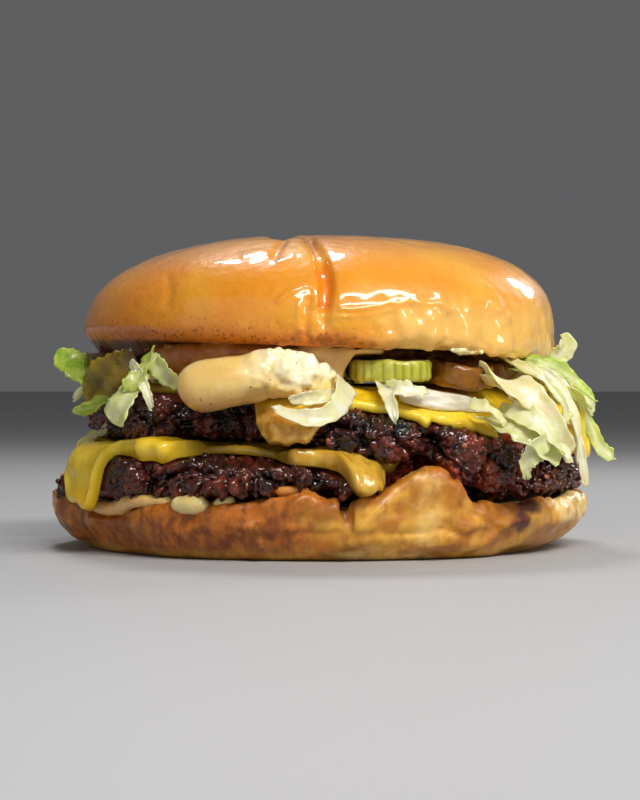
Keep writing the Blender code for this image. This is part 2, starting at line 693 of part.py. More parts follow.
def crown_point(angle, rise):
    """A point of the crust at a heading and a rise in degrees, from under the rim to the top."""
    bend = np.radians(rise)
    squareness = 2.62 + 0.26 * np.cos(np.radians(angle)) - 0.30 * bump(angle, 186, 62)
    widest = 3.4 * MM
    above = np.maximum(np.sin(bend), 0)
    across = np.maximum(np.cos(bend), 0)
    radius = crown_radius(angle) * np.where(rise > 0, across ** (2 / squareness), 1.0)
    radius = radius - np.where(rise < 0, 2.6 * MM * (1 - np.cos(bend)), 0.0)
    height = widest + (CROWN_HEIGHT - widest) * above ** (2 / squareness)
    height = np.where(rise < 0, widest * (1 + np.sin(bend)), height)
    point = at(radius, angle, height)
    curl = 1.1 * MM * plateau(angle, 318, 372, 14) * (1 - ease(height / (8 * MM)))
    point[..., 2] += crown_underside(point) - curl
    pull = crease_depth(point[..., 0], point[..., 1]) * ease((height - 1.5 * MM) / (4 * MM))
    east, north = np.cos(np.radians(angle)), np.sin(np.radians(angle))
    outward = np.stack([east * across, north * across, above], axis=-1)
    return point - outward * pull[..., None]


def crown(finish):
    angles = np.sort(np.concatenate([np.arange(60) * 6.0, [267.5, 268.8, 271.4, 272.6, 274.0]]))
    rows = []
    for share in (0.45, 0.8, 0.93):
        flat = at(crown_radius(angles) * share, angles, 0.0)
        flat[:, 2] = crown_underside(flat)
        rows.append(flat)
    for rise in (-62.0, -28.0, 0.0, 8.0, 18.0, 30.0, 43.0, 56.0, 68.0, 79.0):
        rows.append(crown_point(angles, np.full(len(angles), rise)))
    top = (0, 0, float(CROWN_BASE + CROWN_HEIGHT))
    return object_from("crown", closed_rings(rows, (0, 0, CROWN_BASE), top), finish)


def main():
    for old in list(bpy.data.objects):
        bpy.data.objects.remove(old)
    crust = material("crust", (0.72, 0.33, 0.06), 0.25)
    bread = material("bread", (0.62, 0.36, 0.12), 0.6)
    beef = material("beef", (0.09, 0.03, 0.02), 0.45)
    cheese = material("cheese", (0.9, 0.55, 0.04), 0.3)
    dressing = material("dressing", (0.86, 0.7, 0.33), 0.25)
    gherkin = material("gherkin", (0.35, 0.38, 0.07), 0.25)
    leaf = material("leaf", (0.62, 0.74, 0.32), 0.4)
    white = material("white_onion", (0.84, 0.82, 0.72), 0.3)

    heel(bread)
    base_sauce(dressing)
    patty("lower_patty", LOWER, lower_reach, 71, beef)
    slice_on("lower_cheese", LOWER, lower_reach, cheese)
    patty("upper_patty", UPPER, upper_reach, 81, beef)
    slice_on("upper_cheese", UPPER, upper_reach, cheese)
    paths = [([at(r * MM, a, z * MM) for r, a, z in points], width) for points, width in SHREDS]
    paths += [([np.array(p) * MM for p in points], width) for points, width in HANGING]
    shreds = [shred(points, width, 90 + i) for i, (points, width) in enumerate(paths)]
    united("lettuce", [lettuce_bed()] + shreds, leaf)
    for name, numbers in PICKLES.items():
        pickle(name, numbers, gherkin)
    onion(white)
    united("sauce", [sauce_layer(), dollop()], dressing)
    crown(crust)


main()
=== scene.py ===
"""The looks of a double cheeseburger: glazed crown, craggy seared patties, melted slices, thick sauce,
pickle chips, onion and shredded lettuce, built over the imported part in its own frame, in metres.

A heading is in degrees round the burger: 270 at the front (-Y), 0 at the right (+X).
"""

import itertools
import math

import bmesh
import bpy
import numpy as np
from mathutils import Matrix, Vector

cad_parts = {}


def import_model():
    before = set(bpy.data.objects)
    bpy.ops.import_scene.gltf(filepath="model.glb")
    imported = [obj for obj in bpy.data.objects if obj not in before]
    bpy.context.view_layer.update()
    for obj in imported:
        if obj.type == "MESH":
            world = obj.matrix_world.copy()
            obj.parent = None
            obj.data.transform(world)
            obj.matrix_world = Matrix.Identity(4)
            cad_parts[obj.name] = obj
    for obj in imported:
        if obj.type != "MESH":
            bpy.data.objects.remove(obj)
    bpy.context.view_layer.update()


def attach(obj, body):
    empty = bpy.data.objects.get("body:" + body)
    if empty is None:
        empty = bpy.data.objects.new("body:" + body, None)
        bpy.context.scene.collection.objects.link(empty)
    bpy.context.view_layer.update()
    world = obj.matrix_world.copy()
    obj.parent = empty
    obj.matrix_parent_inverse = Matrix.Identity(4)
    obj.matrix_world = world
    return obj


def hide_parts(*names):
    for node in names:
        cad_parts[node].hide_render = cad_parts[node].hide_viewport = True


MM = 0.001
ROOT = "root"

# The burger's main sizes, as its solids have them
CROWN_RADIUS = 50.3 * MM
CROWN_HEIGHT = 24.1 * MM
CROWN_BASE = 42.3 * MM
CROWN_TILT = 0.03
HEEL_RADIUS = 56.8 * MM
HEEL_FOOT_RADIUS = 50.5 * MM
HEEL_FLOOR = 8.6 * MM
HEEL_RIM = 11.2 * MM
PATTY_THICKNESS = 9.2 * MM
PATTY_SHOULDER = 3.6 * MM
LOWER_PATTY_BASE = 11.3 * MM
PATTY_INTERFACE = 23.4 * MM
CHEESE_THICKNESS = 1.6 * MM
BED_TOP = 36.6 * MM

# The photographed view: distance to the burger, height it looks at, elevation, and size of a pixel there
VIEW_DISTANCE = 0.600
VIEW_HEIGHT = 31.0 * MM
VIEW_ELEVATION = math.radians(0.8)
VIEW_PIXEL = 0.215 * MM
# The photograph's middle column and row, and its number of rows
VIEW_COLUMN, VIEW_ROW = 320, 400
VIEW_ROWS = 800


# Numbers round the burger

def turned(angle, centre):
    """The signed turn in degrees from centre to angle."""
    return (np.asarray(angle, float) - centre + 180.0) % 360.0 - 180.0


def bump(angle, centre, width, width_after=None):
    """A smooth hill of height 1 at a heading, with another width after it if given."""
    turn = turned(angle, centre)
    widths = np.where(turn > 0, width if width_after is None else width_after, width)
    return np.exp(-((turn / widths) ** 2))


def ease(value):
    """A soft step from 0 to 1 as the value goes from 0 to 1."""
    value = np.clip(value, 0.0, 1.0)
    return value * value * (3.0 - 2.0 * value)


def plateau(angle, start, end, soft):
    """1 between two headings, 0 outside, with soft sides."""
    middle, half = (start + end) / 2, (end - start) / 2
    return ease((half + soft - np.abs(turned(angle, middle))) / soft)


def hashed(cells, seed):
    """A number from -1 to 1 for each lattice cell."""
    n = cells[..., 0] * 374761393 + cells[..., 1] * 668265263 + cells[..., 2] * 1274126177
    n = (n + seed * 974634777) & 0xFFFFFFFF
    n = ((n ^ (n >> 13)) * 1274126177) & 0xFFFFFFFF
    return ((n ^ (n >> 16)) & 0xFFFFFF) / float(0x7FFFFF) - 1.0


def noise(points, cell, seed):
    """Smooth noise, about -1 to 1, whose lumps are one cell across."""
    scaled = np.asarray(points, float) / cell
    base = np.floor(scaled).astype(np.int64)
    within = scaled - base
    fade = within * within * (3.0 - 2.0 * within)
    total = np.zeros(scaled.shape[:-1])
    for corner in itertools.product((0, 1), repeat=3):
        weight = np.prod(np.where(corner, fade, 1.0 - fade), axis=-1)
        total += weight * hashed(base + np.array(corner), seed)
    return total


def layered(points, cell, seed, layers=3, gain=0.5):
    """Noise with finer and finer layers added."""
    return sum(noise(points, cell / 2**k, seed + 17 * k) * gain**k for k in range(layers))


def ring_noise(angle, waves, seed):
    """Smooth noise round the burger, about -1 to 1, with that many waves in a turn."""
    spin = np.radians(np.asarray(angle, float))
    reach = waves / (2 * math.pi)
    circle = np.stack([np.cos(spin) * reach, np.sin(spin) * reach, np.full_like(spin, 0.37 * seed)], axis=-1)
    return noise(circle, 1.0, seed)


def pebbles(points, size, seed):
    """The distances to the nearest and next nearest of scattered lump centres, in lump sizes."""
    scaled = np.asarray(points, float) / size
    base = np.floor(scaled).astype(np.int64)
    nearest = np.full(scaled.shape[:-1], 9.0)
    next_nearest = nearest.copy()
    for step in itertools.product((-1, 0, 1), repeat=3):
        cell = base + np.array(step)
        middle = cell + 0.5 + 0.42 * np.stack([hashed(cell, seed + k) for k in range(3)], axis=-1)
        away = np.linalg.norm(scaled - middle, axis=-1)
        closer = away < nearest
        next_nearest = np.where(closer, nearest, np.minimum(next_nearest, away))
        nearest = np.where(closer, away, nearest)
    return nearest, next_nearest


def at(radius, angle, height):
    """Points from radius, heading in degrees and height."""
    spin = np.radians(angle)
    radius, height, spin = np.broadcast_arrays(radius, height, spin)
    return np.stack([radius * np.cos(spin), radius * np.sin(spin), height], axis=-1)


def heading_of(points):
    """The headings of points in degrees."""
    return np.degrees(np.arctan2(points[..., 1], points[..., 0])) % 360


def seen(column, row, depth):
    """The point that shows at a place in the photograph, in pixels, at a depth y in millimetres."""
    pixel = VIEW_PIXEL * (VIEW_DISTANCE + depth * MM) / VIEW_DISTANCE
    height = VIEW_HEIGHT + (VIEW_ROW - row) * pixel - depth * MM * math.sin(VIEW_ELEVATION)
    return np.array([(column - VIEW_COLUMN) * pixel, depth * MM, height])


def spline(knots, places):
    """Values on a smooth curve through knots, at places from 0 to the last knot's number."""
    knots = np.asarray(knots, float)
    padded = np.concatenate([2 * knots[:1] - knots[1:2], knots, 2 * knots[-1:] - knots[-2:-1]])
    i = np.minimum(np.asarray(places).astype(int), len(knots) - 2)
    t = (places - i).reshape(-1, *[1] * (knots.ndim - 1))
    a, b, c, d = (padded[i + k] for k in range(4))
    return 0.5 * (2 * b + (c - a) * t + (2 * a - 5 * b + 4 * c - d) * t**2 + (3 * b - 3 * c + d - a) * t**3)


def even_places(knots, spacing):
    """Places along knots that lie about one spacing apart."""
    knots = np.asarray(knots, float)
    lengths = np.linalg.norm(np.diff(knots, axis=0), axis=-1)
    lengths = lengths.reshape(len(lengths), -1).mean(axis=1)
    parts = []
    for k, length in enumerate(lengths):
        steps = max(1, int(round(length / spacing)))
        parts.append(k + np.arange(steps) / steps)
    return np.append(np.concatenate(parts), len(knots) - 1.0)


# Meshes

def mesh_object(name, points, faces, finish, marks=None):
    mesh = bpy.data.meshes.new(name)
    mesh.from_pydata(np.asarray(points).tolist(), [], faces)
    for label, values in (marks or {}).items():
        layer = mesh.attributes.new(label, "FLOAT", "POINT")
        layer.data.foreach_set("value", np.asarray(values, np.float32).ravel())
    mesh.materials.append(finish)
    mesh.shade_smooth()
    made = bpy.data.objects.new(name, mesh)
    bpy.context.scene.collection.objects.link(made)
    return made


def ring_faces(rows, columns):
    """Quads of a grid of rings, then the two fans that close it."""
    index = np.arange(rows * columns).reshape(rows, columns)
    ahead = np.roll(index, -1, axis=1)
    faces = np.stack([index[:-1], ahead[:-1], ahead[1:], index[1:]], axis=-1).reshape(-1, 4).tolist()
    first, last = rows * columns, rows * columns + 1
    faces += [(b, a, first) for a, b in zip(index[0].tolist(), ahead[0].tolist())]
    faces += [(a, b, last) for a, b in zip(index[-1].tolist(), ahead[-1].tolist())]
    return faces


def ring_solid(name, grid, finish, marks=None):
    """A closed piece from rings that run up its outside from the middle of its underside."""
    rows, columns = grid.shape[:2]
    points = np.concatenate([grid.reshape(-1, 3), [grid[0].mean(axis=0), grid[-1].mean(axis=0)]])
    full = {}
    for label, values in (marks or {}).items():
        full[label] = np.concatenate([values.ravel(), [values[0].mean(), values[-1].mean()]])
    return mesh_object(name, points, ring_faces(rows, columns), finish, full)


def outward(grid):
    """The unit normals of a grid of rings."""
    across = np.roll(grid, -1, axis=1) - np.roll(grid, 1, axis=1)
    along = np.gradient(grid, axis=0)
    normal = np.cross(across, along)
    return normal / np.maximum(np.linalg.norm(normal, axis=-1, keepdims=True), 1e-12)


def settle(piece, slot, *nodes):
    """The piece rides on the burger and stands for these nodes, which are hidden; the slot is not used."""
    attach(piece, ROOT)
    if nodes:
        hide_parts(*nodes)
    return piece


# Finishes

class Finish:
    """A Principled material and short ways to add nodes to it."""

    def __init__(self, name, **sockets):
        self.material = bpy.data.materials.new(name)
        self.material.use_nodes = True
        self.tree = self.material.node_tree
        self.shader = self.tree.nodes["Principled BSDF"]
        self.place = self.tree.nodes.new("ShaderNodeTexCoord").outputs["Object"]
        for label, value in sockets.items():
            self.shader.inputs[label.replace("_", " ")].default_value = value

    def set(self, socket, output):
        self.tree.links.new(output, self.shader.inputs[socket])

    def feed(self, socket, value):
        if isinstance(value, bpy.types.NodeSocket):
            self.tree.links.new(value, socket)
        elif isinstance(value, tuple) and len(value) == 3 and socket.type == "RGBA":
            socket.default_value = (*value, 1.0)
        else:
            socket.default_value = value

    def mark(self, name):
        node = self.tree.nodes.new("ShaderNodeAttribute")
        node.attribute_name = name
        return node.outputs["Fac"]

    def mottle(self, size, detail=3.0, rough=0.55, stretch=None):
        """Noise whose blotches are about that many millimetres across."""
        node = self.tree.nodes.new("ShaderNodeTexNoise")
        place = self.place
        if stretch:
            mapping = self.tree.nodes.new("ShaderNodeMapping")
            mapping.inputs["Scale"].default_value = stretch
            self.tree.links.new(place, mapping.inputs["Vector"])
            place = mapping.outputs["Vector"]
        self.tree.links.new(place, node.inputs["Vector"])
        node.inputs["Scale"].default_value = 1 / (size * MM)
        node.inputs["Detail"].default_value = detail
        node.inputs["Roughness"].default_value = rough
        return node.outputs["Fac"]

    def range(self, value, low, high, to_low=0.0, to_high=1.0):
        node = self.tree.nodes.new("ShaderNodeMapRange")
        node.interpolation_type = "SMOOTHSTEP"
        for socket, number in zip(node.inputs, (value, low, high, to_low, to_high)):
            self.feed(socket, number)
        return node.outputs["Result"]

    def sum(self, kind, first, second=0.0):
        node = self.tree.nodes.new("ShaderNodeMath")
        node.operation = kind
        self.feed(node.inputs[0], first)
        self.feed(node.inputs[1], second)
        return node.outputs[0]

    def blend(self, share, first, second):
        node = self.tree.nodes.new("ShaderNodeMix")
        node.data_type = "RGBA"
        self.feed(node.inputs["Factor"], share)
        self.feed(node.inputs[6], first)
        self.feed(node.inputs[7], second)
        return node.outputs[2]

    def relief(self, *heights):
        """Bumps laid over each other: pairs of height and depth in millimetres."""
        normal = None
        for height, depth in heights:
            node = self.tree.nodes.new("ShaderNodeBump")
            node.inputs["Strength"].default_value = 1.0
            node.inputs["Distance"].default_value = depth * MM
            self.tree.links.new(height, node.inputs["Height"])
            if normal is not None:
                self.tree.links.new(normal, node.inputs["Normal"])
            normal = node.outputs["Normal"]
        self.set("Normal", normal)


def glazed_crust():
    f = Finish("glazed_crust", Roughness=0.42, Coat_Roughness=0.05, Coat_IOR=1.5,
               Specular_IOR_Level=0.35, Subsurface_Weight=0.08, Subsurface_Radius=(0.6, 0.3, 0.1),
               Subsurface_Scale=0.003)
    golden = f.blend(f.range(f.mottle(26), 0.35, 0.68), (0.80, 0.285, 0.010), (0.87, 0.40, 0.026))
    golden = f.blend(f.range(f.mottle(7), 0.45, 0.75, 0.0, 0.3), golden, (0.70, 0.205, 0.008))
    # Paler orange from the light mark: the glaze low on the front right rim, and painted light over the right
    # side
    golden = f.blend(f.mark("light"), golden, (0.93, 0.55, 0.13))
    deep = f.blend(f.mark("crease"), golden, (0.78, 0.23, 0.008))
    # Browner crust low on the rim, and painted shade darkening the left side, from the same mark
    browned = f.blend(f.mark("bake"), deep, (0.66, 0.17, 0.008))
    patchy = f.range(f.mottle(1.6, 4.0, 0.65), 0.40, 0.62)
    toasted = f.blend(patchy, (0.66, 0.17, 0.008), (0.24, 0.046, 0.004))
    colour = f.blend(f.mark("toast"), browned, toasted)
    specks = f.range(f.mottle(0.7, 2.0, 0.5), 0.60, 0.66)
    speckled = f.sum("MULTIPLY", specks, f.mark("bake"))
    colour = f.blend(speckled, colour, (0.20, 0.035, 0.004))
    f.set("Coat Weight", f.range(f.mark("dull"), 0.0, 1.0, 0.9, 0.06))
    crumb = f.blend(f.range(f.mottle(2.0), 0.35, 0.7), (0.74, 0.48, 0.19), (0.60, 0.32, 0.09))
    # Painted shade with toasted dark red on the downward lip under the left rim
    colour = f.blend(f.mark("under"), colour, (0.085, 0.020, 0.005))
    f.set("Base Color", f.blend(f.mark("cut"), colour, crumb))
    f.relief((f.mottle(2.0, 1.0), 0.16), (f.mottle(0.5, 2.0), 0.02))
    return f.material


def soft_bread():
    f = Finish("soft_bread", Roughness=0.45, Coat_Weight=0.25, Coat_Roughness=0.25, Specular_IOR_Level=0.35,
               Subsurface_Weight=0.12, Subsurface_Radius=(0.7, 0.4, 0.15), Subsurface_Scale=0.004)
    golden = f.blend(f.range(f.mottle(11, 3.0, 0.6), 0.38, 0.62), (0.46, 0.165, 0.010), (0.80, 0.42, 0.055))
    # The pale mark mixes the bread's paler foot and far-right skin with painted shade, less pale on the left,
    # and painted sheen streaks along the front rim
    pale = f.range(f.sum("ADD", f.mottle(7, 3.0, 0.6, (1.0, 1.0, 1.6)), f.mark("pale")), 0.55, 1.05)
    colour = f.blend(pale, golden, (0.86, 0.60, 0.22))
    streak = f.range(f.mottle(4, 4.0, 0.6, (1.0, 1.0, 0.55)), 0.48, 0.68, 0.0, 0.65)
    colour = f.blend(streak, colour, (0.38, 0.115, 0.010))
    toasted = f.blend(f.range(f.mottle(2.4, 4.0, 0.6, (1.0, 1.0, 0.6)), 0.36, 0.64), (0.56, 0.15, 0.012),
                      (0.19, 0.036, 0.004))
    # The toast mark: the real toasted rim, deepened on the heel's left side by painted shade
    colour = f.blend(f.mark("toast"), colour, toasted)
    juice = f.blend(f.range(f.mottle(1.5), 0.3, 0.7), (0.055, 0.013, 0.006), (0.16, 0.035, 0.012))
    f.set("Base Color", f.blend(f.mark("juice"), colour, juice))
    f.relief((f.mottle(2.2, 4.0, 0.6), 0.12), (f.mottle(0.5, 3.0), 0.03))
    return f.material


def seared_beef():
    f = Finish("seared_beef", Coat_Weight=1.0, Coat_Roughness=0.04, Specular_IOR_Level=0.12)
    patchy = f.range(f.mottle(4.2, 4.0, 0.6), 0.38, 0.66)
    brown = f.blend(patchy, (0.016, 0.0030, 0.0020), (0.125, 0.017, 0.007))
    fatty = f.range(f.mottle(2.0, 4.0, 0.65), 0.60, 0.74)
    fat = f.blend(f.mark("rosy"), (0.16, 0.022, 0.008), (0.46, 0.105, 0.026))
    brown = f.blend(f.sum("MULTIPLY", f.mark("rosy"), 0.75), brown, (0.40, 0.048, 0.010))
    brown = f.blend(fatty, brown, fat)
    # Painted shade: the pit mark darkens the gaps between crust lumps to nearly black
    brown = f.blend(f.mark("pit"), brown, (0.004, 0.0012, 0.001))
    f.set("Base Color", f.blend(f.mark("char"), brown, (0.003, 0.003, 0.004)))
    f.set("Roughness", f.range(f.mottle(1.3, 3.0), 0.35, 0.65, 0.25, 0.6))
    f.relief((f.mottle(1.0, 4.0, 0.7), 0.36), (f.mottle(0.45, 3.0, 0.65), 0.24))
    return f.material


def melted_cheese():
    f = Finish("melted_cheese", Roughness=0.26, Coat_Weight=0.3, Coat_Roughness=0.1, Subsurface_Weight=0.2,
               Subsurface_Radius=(1.0, 0.6, 0.08), Subsurface_Scale=0.003)
    yellow = f.blend(f.range(f.mottle(8), 0.36, 0.66), (0.93, 0.57, 0.014), (0.96, 0.68, 0.045))
    thin = f.blend(f.range(f.mottle(2.4), 0.36, 0.66), (0.70, 0.30, 0.030), (0.88, 0.52, 0.10))
    colour = f.blend(f.mark("greasy"), yellow, thin)
    # Painted shade from the shade mark, where a patty lies close above the slice
    f.set("Base Color", f.blend(f.mark("shade"), colour, (0.42, 0.25, 0.018)))
    f.relief((f.mottle(2.6, 3.0), 0.22), (f.mottle(0.8, 2.0), 0.03))
    return f.material


def burger_sauce():
    f = Finish("burger_sauce", Roughness=0.28, Coat_Weight=0.3, Coat_Roughness=0.1, Subsurface_Weight=0.25,
               Subsurface_Radius=(1.0, 0.7, 0.35), Subsurface_Scale=0.003)
    creamy = f.blend(f.range(f.mottle(7), 0.36, 0.66), (0.88, 0.60, 0.18), (0.93, 0.74, 0.32))
    rosy = f.blend(f.range(f.mottle(5), 0.35, 0.65), (0.60, 0.160, 0.016), (0.76, 0.31, 0.06))
    colour = f.blend(f.mark("rosy"), creamy, rosy)
    f.set("Base Color", f.blend(f.mark("white"), colour, (0.98, 0.90, 0.62)))
    f.relief((f.mottle(2.4, 3.0), 0.16), (f.mottle(0.7, 3.0), 0.05))
    return f.material


def pickle_skin():
    f = Finish("green_pickle", Roughness=0.22, Coat_Weight=0.4, Coat_Roughness=0.1, Subsurface_Weight=0.25,
               Subsurface_Radius=(0.6, 1.0, 0.2), Subsurface_Scale=0.003)
    green = f.blend(f.mark("rib"), (0.49, 0.46, 0.04), (0.22, 0.25, 0.012))
    green = f.blend(f.range(f.mottle(4.0), 0.4, 0.65, 0.0, 0.6), green, (0.62, 0.62, 0.16))
    flesh = f.blend(f.range(f.mottle(2.0), 0.35, 0.65), (0.46, 0.46, 0.12), (0.58, 0.58, 0.20))
    f.set("Base Color", f.blend(f.mark("skin"), flesh, green))
    f.relief((f.mottle(0.8, 2.0), 0.06),)
    return f.material


def pickle_brown(name, skin):
    f = Finish(name, Roughness=0.24, Coat_Weight=0.5, Coat_Roughness=0.08, Specular_IOR_Level=0.35,
               Subsurface_Weight=0.3, Subsurface_Radius=(1.0, 0.6, 0.2), Subsurface_Scale=0.004)
    olive = f.blend(f.range(f.mottle(4.0, 4.0), 0.36, 0.66), (0.24, 0.080, 0.011), (0.42, 0.19, 0.034))
    f.set("Base Color", f.blend(f.mark("skin"), olive, skin))
    f.relief((f.mottle(2.2, 3.0), 0.3), (f.mottle(0.6, 2.0), 0.05))
    return f.material


def crisp_lettuce():
    f = Finish("crisp_lettuce", Roughness=0.32, Coat_Weight=0.2, Coat_Roughness=0.12, Specular_IOR_Level=0.4,
               Subsurface_Weight=0.4, Subsurface_Radius=(0.8, 1.0, 0.35), Subsurface_Scale=0.003)
    pale = f.blend(f.range(f.mottle(3.5), 0.38, 0.66), (0.88, 0.87, 0.38), (0.95, 0.93, 0.58))
    green = f.blend(f.range(f.mottle(2.5), 0.38, 0.66), (0.24, 0.45, 0.02), (0.52, 0.68, 0.08))
    colour = f.blend(f.mark("green"), pale, green)
    colour = f.blend(f.mark("rib"), colour, (0.93, 0.91, 0.70))
    # The wilt mark: golden brown up to 1, nearly black above; browned lettuce, and painted shade on
    # front-left shreds in shadow
    colour = f.blend(f.mark("wilted"), colour, (0.27, 0.155, 0.005))
    colour = f.blend(f.sum("SUBTRACT", f.mark("wilted"), 1.0), colour, (0.040, 0.024, 0.004))
    f.set("Base Color", f.blend(f.mark("sauced"), colour, (0.84, 0.50, 0.16)))
    f.relief((f.mottle(1.4, 3.0), 0.14), (f.mottle(0.5, 2.0), 0.04))
    return f.material


def raw_onion():
    f = Finish("raw_onion", Roughness=0.22, Coat_Weight=0.3, Coat_Roughness=0.1, Subsurface_Weight=0.35,
               Subsurface_Radius=(1.0, 0.9, 0.8), Subsurface_Scale=0.004)
    streak = f.range(f.mottle(1.6, 3.0, 0.5, (0.35, 0.35, 1.6)), 0.4, 0.65)
    f.set("Base Color", f.blend(streak, (0.62, 0.57, 0.43), (0.80, 0.76, 0.64)))
    f.relief((f.mottle(1.2, 2.0), 0.05),)
    return f.material


def plain(name, colour, roughness, size=1.0, second=None):
    """A simple mottled finish for small bits."""
    f = Finish(name, Roughness=roughness)
    second = second or tuple(0.6 * part for part in colour)
    f.set("Base Color", f.blend(f.range(f.mottle(size), 0.4, 0.6), colour, second))
    f.relief((f.mottle(size * 0.5, 2.0), 0.05 * size),)
    return f.material


# The heel

def heel_radius(angle):
    """The heel's widest radius at a heading."""
    wander = 0.7 * MM * ring_noise(angle, 9, 11)
    tucked = 1.6 * MM * plateau(angle, 204, 222, 7) - 0.7 * MM * plateau(angle, 176, 200, 8)
    pleat = 1.1 * MM * ease(turned(angle, 274.5) / 2.0) * ease((330 - angle) / 40) * (angle > 200)
    return HEEL_RADIUS + wander - tucked + pleat


def heel_rim(angle):
    """The height of the heel's torn upper rim at a heading."""
    front = 2.7 * MM * bump(angle, 265, 9.5) + 6.8 * MM * bump(angle, 293.5, 11, 6.5)
    notch = 1.9 * MM * bump(angle, 275.2, 1.3)
    low = 2.2 * MM * bump(angle, 214, 9) - 1.1 * MM * plateau(angle, 174, 200, 8)
    back = 2.4 * MM * bump(angle, 62, 18) + 1.6 * MM * bump(angle, 150, 12)
    ragged = 0.55 * MM * ring_noise(angle, 17, 12) + 0.35 * MM * ring_noise(angle, 60, 15)
    return HEEL_RIM + front - notch - low + back + ragged


def heel_knots(angle):
    """Radius and height pairs of the heel from its underside, round the rim, to its cut face."""
    widest, rim = heel_radius(angle), heel_rim(angle)
    lip = 2.6 * MM + 1.0 * MM * bump(angle, 293.5, 12, 8)
    undercut = np.maximum(plateau(angle, 322, 378, 14), 0.7 * plateau(angle, 178, 220, 18))
    foot = HEEL_FOOT_RADIUS + 0.6 * MM * ring_noise(angle, 7, 13) - 3.4 * MM * undercut
    pairs = [
        (foot * 0.6, 0.0), (foot * 0.9, 0.0), (foot, 0.0), (foot + 2.4 * MM, 0.9 * MM),
        (widest - 1.5 * MM - 2.2 * MM * undercut, 3.6 * MM),
        (widest - 0.2 * MM - 0.6 * MM * undercut, 6.6 * MM),
        (widest - 0.4 * MM, rim - 1.6 * MM),
        (widest - 1.6 * MM, rim - 0.3 * MM), (widest - 1.6 * MM - 0.5 * lip, rim),
        (widest - 1.9 * MM - lip, rim - 0.7 * MM), (widest - 3.4 * MM - lip, 0.45 * rim + 0.55 * HEEL_FLOOR),
        (widest - 5.6 * MM - lip, HEEL_FLOOR), (widest * 0.75, HEEL_FLOOR), (widest * 0.6, HEEL_FLOOR),
    ]
    filled = np.ones((len(angle), 1))
    return np.stack([np.stack(np.broadcast_arrays(r, z), axis=-1) * filled for r, z in pairs])


# Slanting folds in the front of the heel: heading where each starts, then height there, rise for each degree
# and depth in millimetres
HEEL_FOLDS = (
    (279.0, 7.6, 0.42, 0.8), (288.0, 9.0, -0.34, 0.9), (296.0, 11.6, -0.42, 0.8), (250.0, 7.0, -0.22, 0.5),
)


